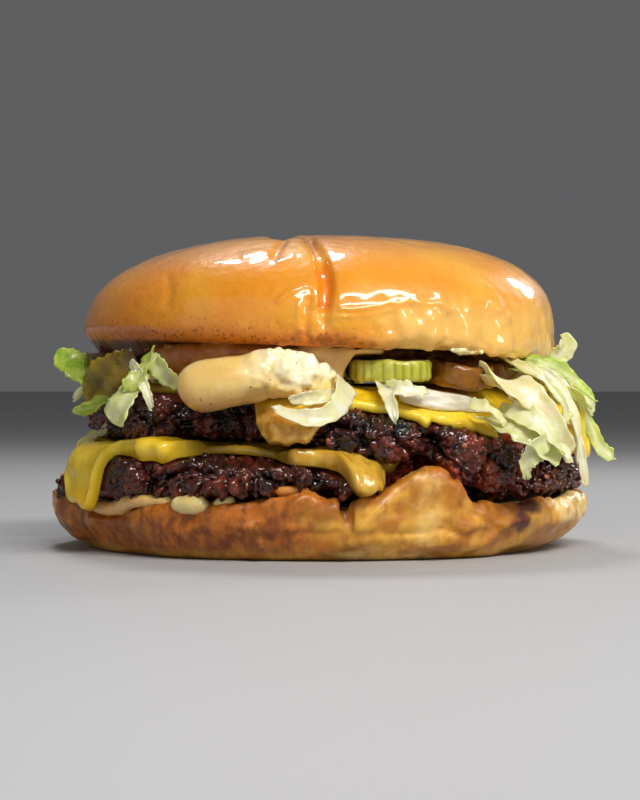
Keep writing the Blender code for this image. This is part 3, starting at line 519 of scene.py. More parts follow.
def make_heel(finish):
    angles = np.arange(800) * 360 / 800
    knots = heel_knots(angles)
    profile = spline(knots, even_places(knots, 0.6 * MM))
    grid = at(profile[..., 0], angles, np.maximum(profile[..., 1], 0.0))
    buckle = 0.7 * MM * noise(grid, 9 * MM, 14) * ease(grid[..., 2] / (5 * MM))
    grid[..., :2] *= (1 + buckle / HEEL_FOOT_RADIUS)[..., None]
    normal = outward(grid)
    height = grid[..., 2]
    radius = np.hypot(grid[..., 0], grid[..., 1])
    heading = np.broadcast_to(angles, height.shape)
    rim = heel_rim(angles)
    side = ease((height - 0.4 * MM) / (2.5 * MM))
    below = (rim - height) / MM
    near_rim = ease((2.4 - below) / 2.2) * ease((radius - 0.80 * HEEL_RADIUS) / (3 * MM))
    inside = ease((heel_radius(angles) - 4.2 * MM - radius) / (1.5 * MM)) * (height > 5 * MM)
    slanted = np.stack([heading * 0.9 - 0.9 * height / MM, height / MM * 1.7, 0 * height], axis=-1)
    folds = 1 - 2.4 * np.abs(noise(slanted, 7.5, 17))
    fine_folds = 1 - 2.4 * np.abs(noise(slanted, 3.4, 27))
    relief = (0.58 * folds + 0.22 * fine_folds * ease((height - 4 * MM) / (4 * MM))) * MM * side
    crumpled = noise(np.stack([heading * 0.9, height / MM * 2.2, 0 * height], axis=-1), 8.0, 30)
    relief += 0.7 * MM * crumpled * side * plateau(heading, 255, 330, 12)
    relief += 0.16 * MM * layered(grid, 3.2 * MM, 18) * side
    torn = np.maximum(near_rim, inside)
    relief += (0.32 * layered(grid, 1.6 * MM, 19) + 0.24 * noise(grid, 0.8 * MM, 20)) * MM * torn
    crease = bump(heading, 274.6 + 2.0 * below / 8, 0.9)
    relief -= 1.1 * MM * crease * side * ease((height - 3 * MM) / (4 * MM))
    waist = 5.1 * MM + 0.9 * MM * ring_noise(angles, 6, 28)
    relief -= 0.55 * MM * np.exp(-(((height - waist) / (1.0 * MM)) ** 2)) * plateau(heading, 272, 330, 14)
    for start, lower, slope, depth in HEEL_FOLDS:
        line = lower + slope * turned(heading, start)
        relief -= depth * MM * np.exp(-(((height / MM - line) / 0.55) ** 2)) * bump(heading, start + 6, 6)
    grid = grid + normal * relief[..., None]
    grid[..., 2] = np.maximum(grid[..., 2], 0.0)
    # The left side gets a wider, deeper toast band and less pale colour: its real toasted rim, with painted
    # shade on top
    left = plateau(heading, 196, 262, 12)
    reach = 2.2 + 3.4 * left + 2.6 * bump(heading, 272, 6) + 3.0 * bump(heading, 312, 7)
    toast = ease((reach - below + 1.6 * noise(grid, 4 * MM, 29)) / reach) * side
    toast = 0.85 * toast * (0.8 + 0.2 * ring_noise(angles, 22, 24)) * (radius > 0.80 * HEEL_RADIUS)
    toast = np.maximum(toast, 0.85 * left * side)
    drifted = heading + 6 * noise(grid, 5 * MM, 31)
    toast = toast * (1 - 0.9 * plateau(drifted, 327, 400, 8)) + 0.55 * inside
    pale = 0.22 * ease((4 * MM - height) / (3 * MM))
    pale = pale + 0.45 * plateau(drifted, 330, 354, 9) * ease((height - 3 * MM) / (5 * MM))
    # Less pale on the left: painted shade; also less pale at 298-324 and a little paler at 293
    pale = pale - 0.5 * left - 0.25 * plateau(heading, 298, 324, 6) + 0.2 * bump(heading, 293, 7)
    # Painted highlight: pale sheen streaks along the front rim's wrinkles, laid on through the pale mark
    floured = plateau(drifted, 255, 266, 4) * ease((3.5 - below) / 3)
    pale = pale + 0.8 * floured * ease(0.5 + 1.6 * noise(slanted, 1.4, 32))
    ragged = 0.8 * layered(grid, 3.0 * MM, 25)
    spot = np.hypot((grid[..., 0] - 42.2 * MM) / (3.2 * MM), (height - 10.4 * MM) / (2.2 * MM))
    drop = np.hypot((grid[..., 0] - 40.6 * MM) / (2.0 * MM), (height - 7.2 * MM) / (3.2 * MM))
    juice = ease(1.4 * (1.2 - np.minimum(spot, drop) - 0.7 * ragged)) * (grid[..., 1] < 0)
    marks = {"toast": np.clip(toast, 0, 1), "pale": np.clip(pale, -0.5, 1), "juice": juice}
    return settle(ring_solid("heel_bread", grid, finish, marks), "bread", "heel")


# Patties

def droop(angle):
    """How far the upper patty's edge sags at a heading."""
    table = (
        (0, 0.0), (190, 0.0), (215, 0.8), (240, 1.6), (256, 2.4), (270, 3.2), (282, 5.0), (294, 6.6),
        (308, 8.8), (318, 10.4), (326, 9.6), (334, 4.5), (344, 1.0), (352, 0.0), (360, 0.0),
    )
    turns, sags = zip(*table)
    back = 2.2 * bump(angle, 95, 22) + 1.6 * bump(angle, 40, 12)
    around = np.asarray(angle) % 360
    smooth = sum(np.interp((around + step) % 360, turns, sags) for step in (-4, -2, 0, 2, 4)) / 5
    return (smooth + back) * MM


def interface(radius, angle):
    """The height of the lower slice's top, where the upper patty rests, at a radius and heading."""
    return PATTY_INTERFACE - droop(angle) * ease((radius - 38 * MM) / (16 * MM))


def lower_radius(angle):
    lumps = 1.5 * bump(angle, 231, 6) + 1.7 * bump(angle, 252, 9) - 1.0 * bump(angle, 343, 10)
    gap = 1.2 * bump(angle, 240.5, 2.5)
    behind_lip = 10.0 * plateau(angle, 287, 312, 7) + 6.0 * bump(angle, 320, 7)
    behind_lip = behind_lip + 3.2 * plateau(angle, 172, 200, 7)
    return (55.4 + lumps - gap - behind_lip + 1.1 * ring_noise(angle, 14, 21)) * MM


def lower_bottom(radius, angle):
    over_rim = np.maximum(heel_rim(angle) + 0.9 * MM - LOWER_PATTY_BASE, 0.0)
    return LOWER_PATTY_BASE + over_rim * ease((radius - 44 * MM) / (5 * MM))


def lower_top(radius, angle):
    return interface(radius, angle) - CHEESE_THICKNESS - 0.4 * MM


def upper_radius(angle):
    tucked = 6.6 * plateau(angle, 234, 254, 7) + 3.4 * plateau(angle, 164, 212, 9) + 0.5 * bump(angle, 224, 6)
    lobes = 2.0 * bump(angle, 282, 7) + 2.4 * bump(angle, 312, 13) - 1.8 * bump(angle, 294.5, 3)
    drip = 2.6 * bump(angle, 263, 6)
    right = 4.2 * bump(angle, 343, 11)
    return (52.2 - tucked - drip + lobes + right + 1.0 * ring_noise(angle, 13, 22)) * MM


def upper_bottom(radius, angle):
    hung = 3.6 * MM * plateau(angle, 300, 317, 8) * ease((radius - 47.5 * MM) / (4 * MM))
    return interface(radius, angle) + 0.3 * MM + 0.2 * droop(angle) - hung


def upper_top(radius, angle):
    thinner = 0.9 * MM * plateau(angle, 236, 262, 10)
    return interface(radius, angle) + PATTY_THICKNESS - thinner * ease((radius - 36 * MM) / (8 * MM))


# Gaps between the clumps at the patties' edges: heading, half-width and depth in millimetres
LOWER_NOTCHES = ((232.0, 1.8, 4.2), (263.6, 2.0, 3.8), (271.8, 1.2, 2.4))
UPPER_NOTCHES = ((295.0, 1.6, 2.8), (268.0, 1.5, 1.5))
# Clumps that stand out: heading, half-width, height, half its height and how far, in millimetres
LOWER_CLUMPS = ((197.5, 5.0, 13.6, 2.4, 7.5), (258.0, 15.0, 14.6, 1.8, 2.0))
LOWER = (lower_radius, lower_bottom, lower_top)
UPPER = (upper_radius, upper_bottom, upper_top)


def patty_side(shape, angle):
    radius_of, bottom_of, top_of = shape
    start = radius_of(angle) - PATTY_SHOULDER
    low, high = bottom_of(start, angle), top_of(start, angle)
    curve = np.minimum(PATTY_SHOULDER, 0.46 * (high - low))
    return start, low, high, curve


def patty_contour(shape, angle):
    """The smooth upper contour from the axis over the edge and straight down, and the length along it."""
    top_of = shape[2]
    start, _, high, curve = patty_side(shape, angle)
    shares = (0, 0.3, 0.5, 0.65, 0.75, 0.83, 0.9, 0.95)
    pairs = [(start * share, top_of(start * share, angle)) for share in shares]
    for bend in np.radians(np.arange(0, 91, 11.25)):
        pairs.append((start + PATTY_SHOULDER * math.sin(bend), high - curve * (1 - math.cos(bend))))
    pairs.append((start + PATTY_SHOULDER, high - curve - 20 * MM))
    corners = np.stack([np.stack(np.broadcast_arrays(r, z), axis=-1) for r, z in pairs])
    pieces = np.linalg.norm(np.diff(corners, axis=0), axis=-1)
    lengths = np.concatenate([np.zeros((1, len(angle))), np.cumsum(pieces, axis=0)])
    return corners, lengths


def crust_lumps(points, seed):
    """How far the seared crust stands out, in millimetres: clumps, torn mince and crumbs with deep gaps."""
    warp = np.stack([noise(points, 3.1 * MM, seed + 50 + k) for k in range(3)], axis=-1) * 0.9 * MM
    bent = points + warp
    near, following = pebbles(bent * np.array([1, 1, 0.8]), 8.0 * MM, seed)
    lumps = 1.3 * (1 - near) - 1.5 * ease(1 - (following - near) / 0.16)
    near, following = pebbles(bent * np.array([1, 1, 1.25]), 3.0 * MM, seed + 3)
    lumps += 0.85 * (1 - near**1.5) - 0.7 * ease(1 - (following - near) / 0.16) - 0.25
    near, following = pebbles(points + 3 * MM + 0.6 * warp, 1.4 * MM, seed + 5)
    lumps += 0.65 * (1 - near) - 0.3 * ease(1 - (following - near) / 0.2) - 0.25
    lumps += 0.45 * (1 - 2 * np.abs(noise(points, 1.3 * MM, seed + 9)))
    lumps += 0.2 * noise(points, 0.6 * MM, seed + 11)
    return lumps - 0.75


# Rings of a patty that belong to its underside and lower shoulder
UNDERSIDE = 25


def make_patty(name, shape, reach_of, seed, finish, node, notches, clumps=()):
    """A patty whose side is craggy wherever the slice on top doesn't cover it."""
    angles = np.arange(1100) * 360 / 1100
    _, bottom_of, top_of = shape
    start, low, high, curve = patty_side(shape, angles)
    lengths = patty_contour(shape, angles)[1]
    down_side = lengths[-2] + high - curve
    covered = np.stack([reach_of(angles + step) for step in (-1.5, 0, 1.5)]).max(axis=0)
    rows = []
    for share in (0.6, 0.75, 0.84, 0.90, 0.94, 0.965, 0.98, 0.992):
        rows.append((start * share, bottom_of(start * share, angles), 0 * angles, down_side + 9 * MM))
    for bend in np.radians(np.linspace(0, 90, 17)):
        height = low + curve * (1 - math.cos(bend))
        reach = start + PATTY_SHOULDER * math.sin(bend)
        rows.append((reach, height, math.sin(bend) + 0 * angles, down_side - height))
    for share in np.linspace(0, 1, 10)[1:-1]:
        height = (low + curve) * (1 - share) + (high - curve) * share
        rows.append((start + PATTY_SHOULDER, height, 1.0 + 0 * angles, down_side - height))
    for bend in np.radians(np.linspace(90, 0, 19)):
        height = high - curve * (1 - math.cos(bend))
        length = lengths[-2] - curve * (math.pi / 2 - bend)
        rows.append((start + PATTY_SHOULDER * math.sin(bend), height, math.sin(bend) + 0 * angles, length))
    for share in (0.992, 0.98, 0.965, 0.94, 0.90, 0.84, 0.75, 0.6):
        rows.append((start * share, top_of(start * share, angles), 0 * angles, lengths[-10] * share))
    radius, height, facing, length = (
        np.stack([np.broadcast_to(row[k], angles.shape) for row in rows]) for k in range(4))
    grid = at(radius, angles, height)
    normal = outward(grid)
    bare = ease((length - covered + 0.6 * MM) / (1.1 * MM))
    bare[:UNDERSIDE] *= ease(0.2 + facing[:UNDERSIDE] * 1.6)
    lumps = crust_lumps(grid, seed)
    jitter = np.stack([layered(grid, 1.7 * MM, seed + 30 + k, 2) for k in range(3)], axis=-1)
    heading = np.broadcast_to(angles, radius.shape)
    notched = sum(depth * bump(heading + 1.2 * noise(grid, 4 * MM, seed + 33), middle, width)
                  for middle, width, depth in notches)
    for middle, width, level, tall, extra in clumps:
        level_share = np.exp(-((height - level * MM) / (tall * MM)) ** 2)
        notched = notched - extra * bump(heading, middle, width) * level_share
    out = (lumps * bare - 0.15 * (1 - bare) - notched * facing) * MM
    grid = grid + normal * out[..., None] + jitter * (0.45 * MM * bare)[..., None]
    rosy = ease(0.45 + 1.4 * noise(grid, 8 * MM, seed + 40)) * (0.2 + 0.8 * plateau(heading, 280, 330, 12))
    from_char = np.hypot((grid[..., 0] - 15.6 * MM) / (2.6 * MM), (grid[..., 2] - 27.0 * MM) / (3.4 * MM))
    char = ease(1.6 - from_char)
    char = np.maximum(char * (grid[..., 1] < 0), 0.5 * ease(1.8 * noise(grid, 7 * MM, seed + 41) - 0.3))
    # Painted shade in the gaps between lumps, deeper where the lumps dip lower
    pit = ease(-lumps * 0.8 - 0.15) * bare
    marks = {"pit": pit, "rosy": rosy, "char": char, "bare": bare * (lumps > -0.2)}
    return settle(ring_solid(name, grid, finish, marks), "beef", node)


# Melted slices

def square_reach(angle, half_side, turn):
    spin = np.radians(turned(angle, turn) + 45.0)
    side = np.maximum(np.abs(np.cos(spin)), np.abs(np.sin(spin)))
    return np.minimum(half_side / side, half_side * 1.28)


def edge_length(shape, angle, height):
    """The length along the contour at which it comes down to a height."""
    corners, lengths = patty_contour(shape, angle)
    return lengths[-2] + (corners[-2, :, 1] - height)


def melted_reach(shape, angle, shoulder, square, short, runs):
    """How far a slice has melted out along the patty: a square, then runs that hang lower.

    Each run is a heading, a half-width in degrees, the height it comes down to and a half-width after it."""
    reach = np.minimum(square, shoulder) - short
    for heading, width, height, after in runs:
        full = edge_length(shape, angle, height * MM)
        reach = reach + (np.maximum(full, reach) - reach) * bump(angle, heading, width, after)
    return reach


def lower_reach(angle):
    shoulder = lower_radius(angle) + 1.8 * MM
    runs = (
        (209.5, 4.5, 10.5, 4.0), (215, 4.5, 8.3, 3.8), (276, 12.5, 19.0, 8.5), (278.5, 3.6, 13.0, 5.0),
        (266, 4, 20.0, 5.0),
        (20, 9.0, 13.5, 9.0), (112, 8.0, 15.0, 10.0), (160, 5, 17.0, 5.0), (72, 4, 18.5, 5.0),
        (225, 7, 20.2, 7), (230.5, 5, 19.8, 5), (236.0, 4, 18.6, 3.5),
    )
    reach = melted_reach(LOWER, angle, shoulder, square_reach(angle, 46 * MM, 205), 0.0, runs)
    reach -= 7.0 * MM * plateau(angle, 297, 328, 9)
    return reach + 0.8 * MM * ring_noise(angle, 16, 31) + 0.6 * MM * ring_noise(angle, 48, 34)


def upper_reach(angle):
    shoulder = upper_radius(angle) + 0.4 * MM
    short = 4.2 * MM * plateau(angle, 216, 250, 8) - 1.5 * MM * plateau(angle, 284, 322, 6)
    runs = (
        (258.8, 4.4, 23.0, 4.2), (263.0, 3.5, 22.6, 3.5), (266.4, 3.0, 22.9, 3.6), (343, 9.0, 19.0, 8.0),
        (294, 4.2, 25.6, 3.4), (304, 14.0, 27.0, 9.0), (312, 4, 23.8, 4), (150, 8.0, 27.0, 7.0),
        (78, 10.0, 22.0, 9.0), (120, 4, 27.0, 4.0), (28, 8, 26.0, 8.0),
    )
    reach = melted_reach(UPPER, angle, shoulder, square_reach(angle, 45 * MM, 258), short, runs)
    return reach + 0.7 * MM * ring_noise(angle, 15, 32) + 0.4 * MM * ring_noise(angle, 38, 35)


# Thicker drips of the slices: heading, half-width in degrees, extra thickness in millimetres and the row of
# the contour where each starts
LOWER_DRIPS = ((279, 5, 0.5, -4), (232, 12, 2.3, -12), (250, 9, 1.2, -10), (273, 11, 2.4, -12))
UPPER_DRIPS = ((263, 6, 1.5, -4), (304, 9, 0.5, -9))


def lower_greasy(heading, points):
    """Where the lower slice is thin and greasy: its lobe at the front."""
    return 0.75 * plateau(heading, 262, 292, 9)


def lower_shade(heading):
    """How much painted shade darkens the lower slice where the upper patty lies close above it."""
    return np.maximum(0.85 * plateau(heading, 242, 262, 7), 0.5 * plateau(heading, 264, 288, 6))


def upper_greasy(heading, points):
    """Where the upper slice is thin and greasy: the low part of its run at the front."""
    return plateau(heading, 257, 268, 4) * ease((31 * MM - points[..., 2]) / (2 * MM))


def make_slice(name, shape, reach_of, seed, finish, node, greasy_of, shade_of, drips):
    """A melted slice that lies on its patty and hangs over the edge with a round, thicker lip."""
    angles = np.arange(720) * 0.5
    corners, lengths = patty_contour(shape, angles)
    reach = reach_of(angles) + 0.35 * MM * ring_noise(angles, 90, seed + 5)
    hanging = ease((reach - lengths[-2]) / (2 * MM))
    bead = (0.35 + 0.75 * hanging) * MM
    steps = np.concatenate([[0.35, 0.6, 0.75], 1 - 0.22 * (1 - np.linspace(0, 1, 30) ** 1.3)])
    gap = 0.10 * MM
    inner, outer = [], []
    for share in steps:
        length = reach * share
        point = np.empty((len(angles), 2))
        normal = np.empty((len(angles), 2))
        for i, value in enumerate(length):
            reaches = lengths[:, i]
            point[i] = [np.interp(value, reaches, corners[:, i, axis]) for axis in (0, 1)]
            before = [np.interp(value - 0.8 * MM, reaches, corners[:, i, axis]) for axis in (0, 1)]
            after = [np.interp(value + 0.8 * MM, reaches, corners[:, i, axis]) for axis in (0, 1)]
            run = np.array(after) - np.array(before)
            run /= max(np.linalg.norm(run), 1e-9)
            normal[i] = (-run[1], run[0])
        lip = np.sqrt(np.clip(1 - np.clip(1 - (reach - length) / (1.3 * MM), 0, 1) ** 2, 0, 1))
        swell = (CHEESE_THICKNESS + bead * ease(1 - (reach - length) / (4 * MM))) * lip
        for middle, width, extra, bend in drips:
            begun = ease((length - lengths[bend]) / (2 * MM))
            swell += extra * MM * bump(angles, middle, width) * begun * lip
        inner.append(point + normal * (gap + 0.28 * (1 - lip) * CHEESE_THICKNESS)[:, None])
        outer.append(point + normal * (gap + 0.28 * (1 - lip) * CHEESE_THICKNESS + swell)[:, None])
    profile = np.stack(inner + outer[-2::-1])
    grid = at(profile[..., 0], angles, profile[..., 1])
    normal = outward(grid)
    upper = np.zeros(len(profile))
    upper[len(inner):] = 1.0
    waves = 0.40 * noise(grid, 5.5 * MM, seed) + 0.28 * noise(grid, 2.6 * MM, seed + 1)
    waves += 0.12 * noise(grid, 1.3 * MM, seed + 2)
    heading = np.broadcast_to(angles, grid.shape[:2])
    marks = {"greasy": greasy_of(heading, grid), "shade": shade_of(heading)}
    waves *= 1 + 1.3 * marks["greasy"]
    grid = grid + normal * (waves * MM * upper[:, None])[..., None]
    return settle(ring_solid(name, grid, finish, marks), "cheese", node)


# Sauces

def crown_underside(points):
    """The height of the crown's cut face above points."""
    return CROWN_BASE - CROWN_TILT * points[..., 0]


# Sauce that ran out over the heel's rim: start and end heading, then thickness, rise over the rim and how far
# it hangs out in millimetres, and how rosy it is
SPILLS = (
    (208.0, 236.5, 1.5, 0.35, -0.2, 0.45), (238.2, 247.0, 2.0, -0.2, 0.3, 0.0),
    (247.6, 252.6, 1.2, 0.1, 0.0, 0.1), (226.0, 237.0, 1.2, 0.5, -1.4, 0.3),
    (260.5, 268.0, 1.1, 0.3, -1.4, 1.0),
)

# The sauce layer's section on the heel: share of its radius, then share of its thickness
LAYER_PROFILE = ((0.5, 0.0), (0.93, 0.0), (0.985, 0.1), (1.0, 0.5), (0.985, 0.9), (0.93, 1.0), (0.5, 1.0))


def spill(start, end, thickness, rise, out):
    """Rings of a blob of sauce along the rim."""
    share = np.linspace(0, 1, 60)
    angles = start + (end - start) * share
    plump = np.sqrt(np.clip(1 - (2 * share - 1) ** 4, 0, 1)) * (1 + 0.25 * ring_noise(angles, 40, 86)) + 0.03
    centres = at(heel_radius(angles) + (out - 1.4) * MM, angles, heel_rim(angles) + rise * MM)
    rings = round_tube(centres, thickness * MM * plump, 28)[:, ::-1]
    return rings + outward(rings) * (0.45 * MM * layered(rings, 3.6 * MM, 87, 2))[..., None]


def make_base_sauce(finish):
    """The sauce on the heel's cut face, and what ran over the rim."""
    angles = np.arange(360.0)
    inside = heel_radius(angles) - 9.2 * MM + 0.8 * MM * ring_noise(angles, 20, 42)
    low = HEEL_FLOOR + 0.25 * MM
    knots = []
    for share, level in LAYER_PROFILE:
        knots.append(np.stack([inside * share, low + level * 1.5 * MM + 0 * inside], axis=-1))
    profile = spline(np.stack(knots), even_places(np.stack(knots), 0.8 * MM))
    grid = at(profile[..., 0], angles, profile[..., 1])
    grid += outward(grid) * (0.25 * MM * noise(grid, 2.6 * MM, 43))[..., None]
    parts = [ring_solid("layer", grid, finish, flat_marks(grid, 0.15))]
    for *route, rosy in SPILLS:
        rings = spill(*route)
        parts.append(ring_solid("blob", rings, finish, flat_marks(rings, rosy)))
    return settle(joined("lower_sauce", parts), "dressing", "base_sauce")


def flat_marks(grid, rosy):
    """The marks of sauce that is the same all over; whiter where rosy is below 0."""
    plain_grid = 0 * grid[..., 0]
    return {"rosy": rosy + plain_grid, "white": max(-rosy, 0.0) + plain_grid, "bare": plain_grid}


# The film's section: share of its radius, then height from its lower side to the crown
FILM_PROFILE = (
    (0.6, 0.1), (0.90, 0.0), (0.95, -0.02), (0.985, 0.12), (1.0, 0.45), (1.0, 0.8), (0.985, 1.0), (0.55, 1.0),
)


def sauce_radius(angle):
    bays = 17 * plateau(angle, 291, 350, 5)
    bays = bays + 13 * plateau(angle, 180, 204, 5) + 13 * plateau(angle, 85, 112, 5)
    return (44.5 - bays + 1.2 * ring_noise(angle, 9, 41)) * MM


def sauce_film():
    """The sauce that clings under the crown and hangs from it in waves, as rings."""
    angles = np.arange(600) * 0.6
    waves = ring_noise(angles, 26, 44) + 0.6 * ring_noise(angles, 60, 90)
    radius = sauce_radius(angles) + 0.9 * MM * waves
    hang = np.clip(0.55 + 0.6 * ring_noise(angles, 30, 91) + 0.3 * ring_noise(angles, 75, 92), 0.15, 1.0)
    hang = hang * (1 - 0.7 * plateau(angles, 150, 214, 8)) + 0.45 * plateau(angles, 218, 276, 5)
    hang = np.minimum(hang, 1.2 - 0.95 * plateau(angles, 280, 296, 5))
    low = BED_TOP - 0.6 * MM
    knots = []
    for share, level in FILM_PROFILE:
        flat = at(radius * share, angles, 0.0)
        high = crown_underside(flat) - 0.1 * MM
        bottom = high - (high - low) * hang
        reach = radius * share + (level - 1) * 1.2 * MM
        knots.append(np.stack([reach, bottom + (high - bottom) * level], axis=-1))
    profile = spline(np.stack(knots), even_places(np.stack(knots), 0.55 * MM))
    grid = at(profile[..., 0], angles, profile[..., 1])
    return grid + outward(grid) * (0.8 * MM * layered(grid, 5.0 * MM, 45, 3, 0.5))[..., None]


# The thick finger of sauce that has squeezed out at the front: column, row and depth where it shows, and its
# radius in millimetres
DOLLOP = (
    (183, 387, -45.5, 1.6), (191, 386, -46.6, 4.2), (205, 385.5, -47.6, 5.2), (226, 383, -48.4, 5.15),
    (244, 380, -48.8, 4.9), (262, 376, -48.8, 5.0), (282, 374.5, -48.4, 5.0), (302, 376, -47.4, 4.6),
    (318, 379, -45.0, 3.5), (328, 382, -41.0, 2.4),
)


# A torn whitish rag under the crown's rim at the front right: start and end heading, half its thickness
RAG = (302.5, 313.5, 0.9)


def round_tube(centres, radii, sides):
    """Rings of a tube with round ends along centres."""
    ahead = np.gradient(centres, axis=0)
    ahead /= np.linalg.norm(ahead, axis=1, keepdims=True)
    side = np.cross(ahead, (0, 0, 1.0))
    side /= np.linalg.norm(side, axis=1, keepdims=True)
    up = np.cross(side, ahead)
    turns = np.linspace(0, 2 * math.pi, sides, endpoint=False)[None, :, None]
    rings = side[:, None] * np.cos(turns) + up[:, None] * np.sin(turns)
    return centres[:, None] + rings * radii[:, None, None]


def make_sauce(finish):
    film = sauce_film()
    knots = np.array([[*seen(column, row, depth), radius * MM] for column, row, depth, radius in DOLLOP])
    places = np.concatenate([np.linspace(0, 1, 14)[:-1] ** 1.4, np.linspace(1, len(knots) - 1, 120)])
    run = spline(knots, places)
    run[0, 3] = 0.25 * MM
    run[-1, 3] = 0.4 * MM
    finger = round_tube(run[:, :3], run[:, 3], 96)[:, ::-1]
    heaped = ease((finger[..., 0] + 16 * MM + 2.5 * MM * noise(finger, 4 * MM, 54)) / (9 * MM))
    swell = 0.45 * noise(finger, 6 * MM, 47) + (0.14 + 0.95 * heaped) * noise(finger, 3.4 * MM, 48)
    folded = 1 - 2.5 * np.abs(noise(finger, 4 * MM, 51))
    swell += heaped * (0.6 * noise(finger, 1.6 * MM, 50) + 0.6 * folded)
    swell += heaped * 0.3 * noise(finger, 0.9 * MM, 58)
    torn = heaped * ease((36.5 * MM - finger[..., 2]) / (4 * MM))
    swell += torn * (0.9 * noise(finger, 2.2 * MM, 55) - 0.3)
    swell *= ease((places[-1] - places) / 0.9)[:, None]
    finger += outward(finger) * (swell * MM)[..., None]
    lower = ease((34.5 * MM - finger[..., 2]) / (4 * MM))
    whitish = ease((finger[..., 2] - 33 * MM) / (5 * MM) + 0.9 * noise(finger, 3.5 * MM, 53))
    finger_marks = {
        "rosy": np.clip(0.35 * ease(0.2 + noise(finger, 8 * MM, 49)) * (1 - heaped) + 0.45 * lower, 0, 1),
        "white": 0.85 * heaped * whitish,
        "bare": ease((finger[..., 1] + 46 * MM) / (-4 * MM)),
    }
    film_marks = flat_marks(film, 1.0)
    film_marks["rosy"] = 1.0 - 0.55 * plateau(heading_of(film), 262, 294, 8)
    parts = [ring_solid("film", film, finish, film_marks), ring_solid("finger", finger, finish, finger_marks)]
    share = np.linspace(0, 1, 50)
    along = RAG[0] + (RAG[1] - RAG[0]) * share
    middle = at(crown_radius(along) - 1.8 * MM, along, 0.0)
    middle[:, 2] = crown_underside(middle)
    plump = np.sqrt(np.clip(1 - (2 * share - 1) ** 4, 0, 1)) * (0.8 + 0.5 * ring_noise(along, 70, 56)) + 0.03
    rag = round_tube(middle, RAG[2] * MM * plump, 24)[:, ::-1]
    rag += outward(rag) * (0.5 * MM * layered(rag, 1.6 * MM, 57))[..., None]
    parts.append(ring_solid("rag", rag, finish, flat_marks(rag, -0.35)))
    return settle(joined("thick_sauce", parts), "dressing", "sauce")


def joined(name, parts):
    """One mesh from several, kept as they are."""
    bm = bmesh.new()
    for part in parts:
        bm.from_mesh(part.data)
    mesh = bpy.data.meshes.new(name)
    bm.to_mesh(mesh)
    bm.free()
    mesh.materials.append(parts[0].data.materials[0])
    mesh.shade_smooth()
    for part in parts:
        old = part.data
        bpy.data.objects.remove(part)
        bpy.data.meshes.remove(old)
    made = bpy.data.objects.new(name, mesh)
    bpy.context.scene.collection.objects.link(made)
    return made


# Pickle chips as centre, radius, thickness and tilts in millimetres and degrees
PICKLES = {
    "pickle_front": (14.1, -36.8, 37.6, 8.2, 4.4, 2.0, 0.0),
    "pickle_right": (28.3, -29.6, 37.0, 7.3, 4.6, 7.0, 8.0),
    "pickle_side": (35.6, -17.2, 37.2, 6.9, 4.4, 4.0, 7.0),
    "pickle_left": (-41.4, -9.0, 39.4, 8.2, 3.4, 1.0, -2.0),
    "pickle_back": (-6.0, 40.8, 38.4, 8.0, 3.2, -2.0, 0.0),
}


def make_pickle(node, numbers, seed, finish, ribbing):
    """A chip with a ribbed skin round its side and slightly sunken faces."""
    x, y, z, radius, thickness, lean_x, lean_y = numbers
    angles = np.arange(200) * 1.8
    ribs = np.abs(np.sin(np.radians(angles) * 12 + 1.9 * ring_noise(angles, 11, seed)))
    round_ish = radius * (1 + 0.03 * ring_noise(angles, 4, seed + 1))
    half = thickness / 2
    knots = [(0.35, -0.82), (0.7, -0.86), (0.9, -0.97), (0.96, -0.93), (1.0, -0.7), (1.0, 0.0),
             (1.0, 0.7), (0.96, 0.93), (0.9, 0.97), (0.7, 0.86), (0.35, 0.82)]
    rows = [np.stack([round_ish * share, half * level + 0 * angles], axis=-1) for share, level in knots]
    places = even_places(np.stack(rows) * MM, 0.5 * MM)
    profile = spline(np.stack(rows), places)
    side = ease((profile[..., 0] / round_ish - 0.93) / 0.05)
    profile[..., 0] += ribbing * (0.24 * ribs - 0.12) * side
    grid = at(profile[..., 0] * MM, angles, profile[..., 1] * MM)
    bumps = (0.75 - 0.5 * ribbing) * layered(grid + seed * 7 * MM, 3.4 * MM, seed)
    grid += outward(grid) * (bumps * MM)[..., None]
    a, b = math.radians(lean_x), math.radians(lean_y)
    tilt = np.array([[math.cos(b), 0, math.sin(b)], [0, 1, 0], [-math.sin(b), 0, math.cos(b)]])
    tilt = tilt @ np.array([[1, 0, 0], [0, math.cos(a), -math.sin(a)], [0, math.sin(a), math.cos(a)]])
    grid = grid @ tilt.T + np.array([x, y, z]) * MM
    marks = {"rib": (1 - ribs) ** 2 * side, "skin": side}
    return settle(ring_solid(node + "_chip", grid, finish, marks), "gherkin", node)


# The onion strip's first and last heading, and how boxy its section is
ONION_RUN = (289.0, 313.0)
ONION_BOXINESS = 3.2


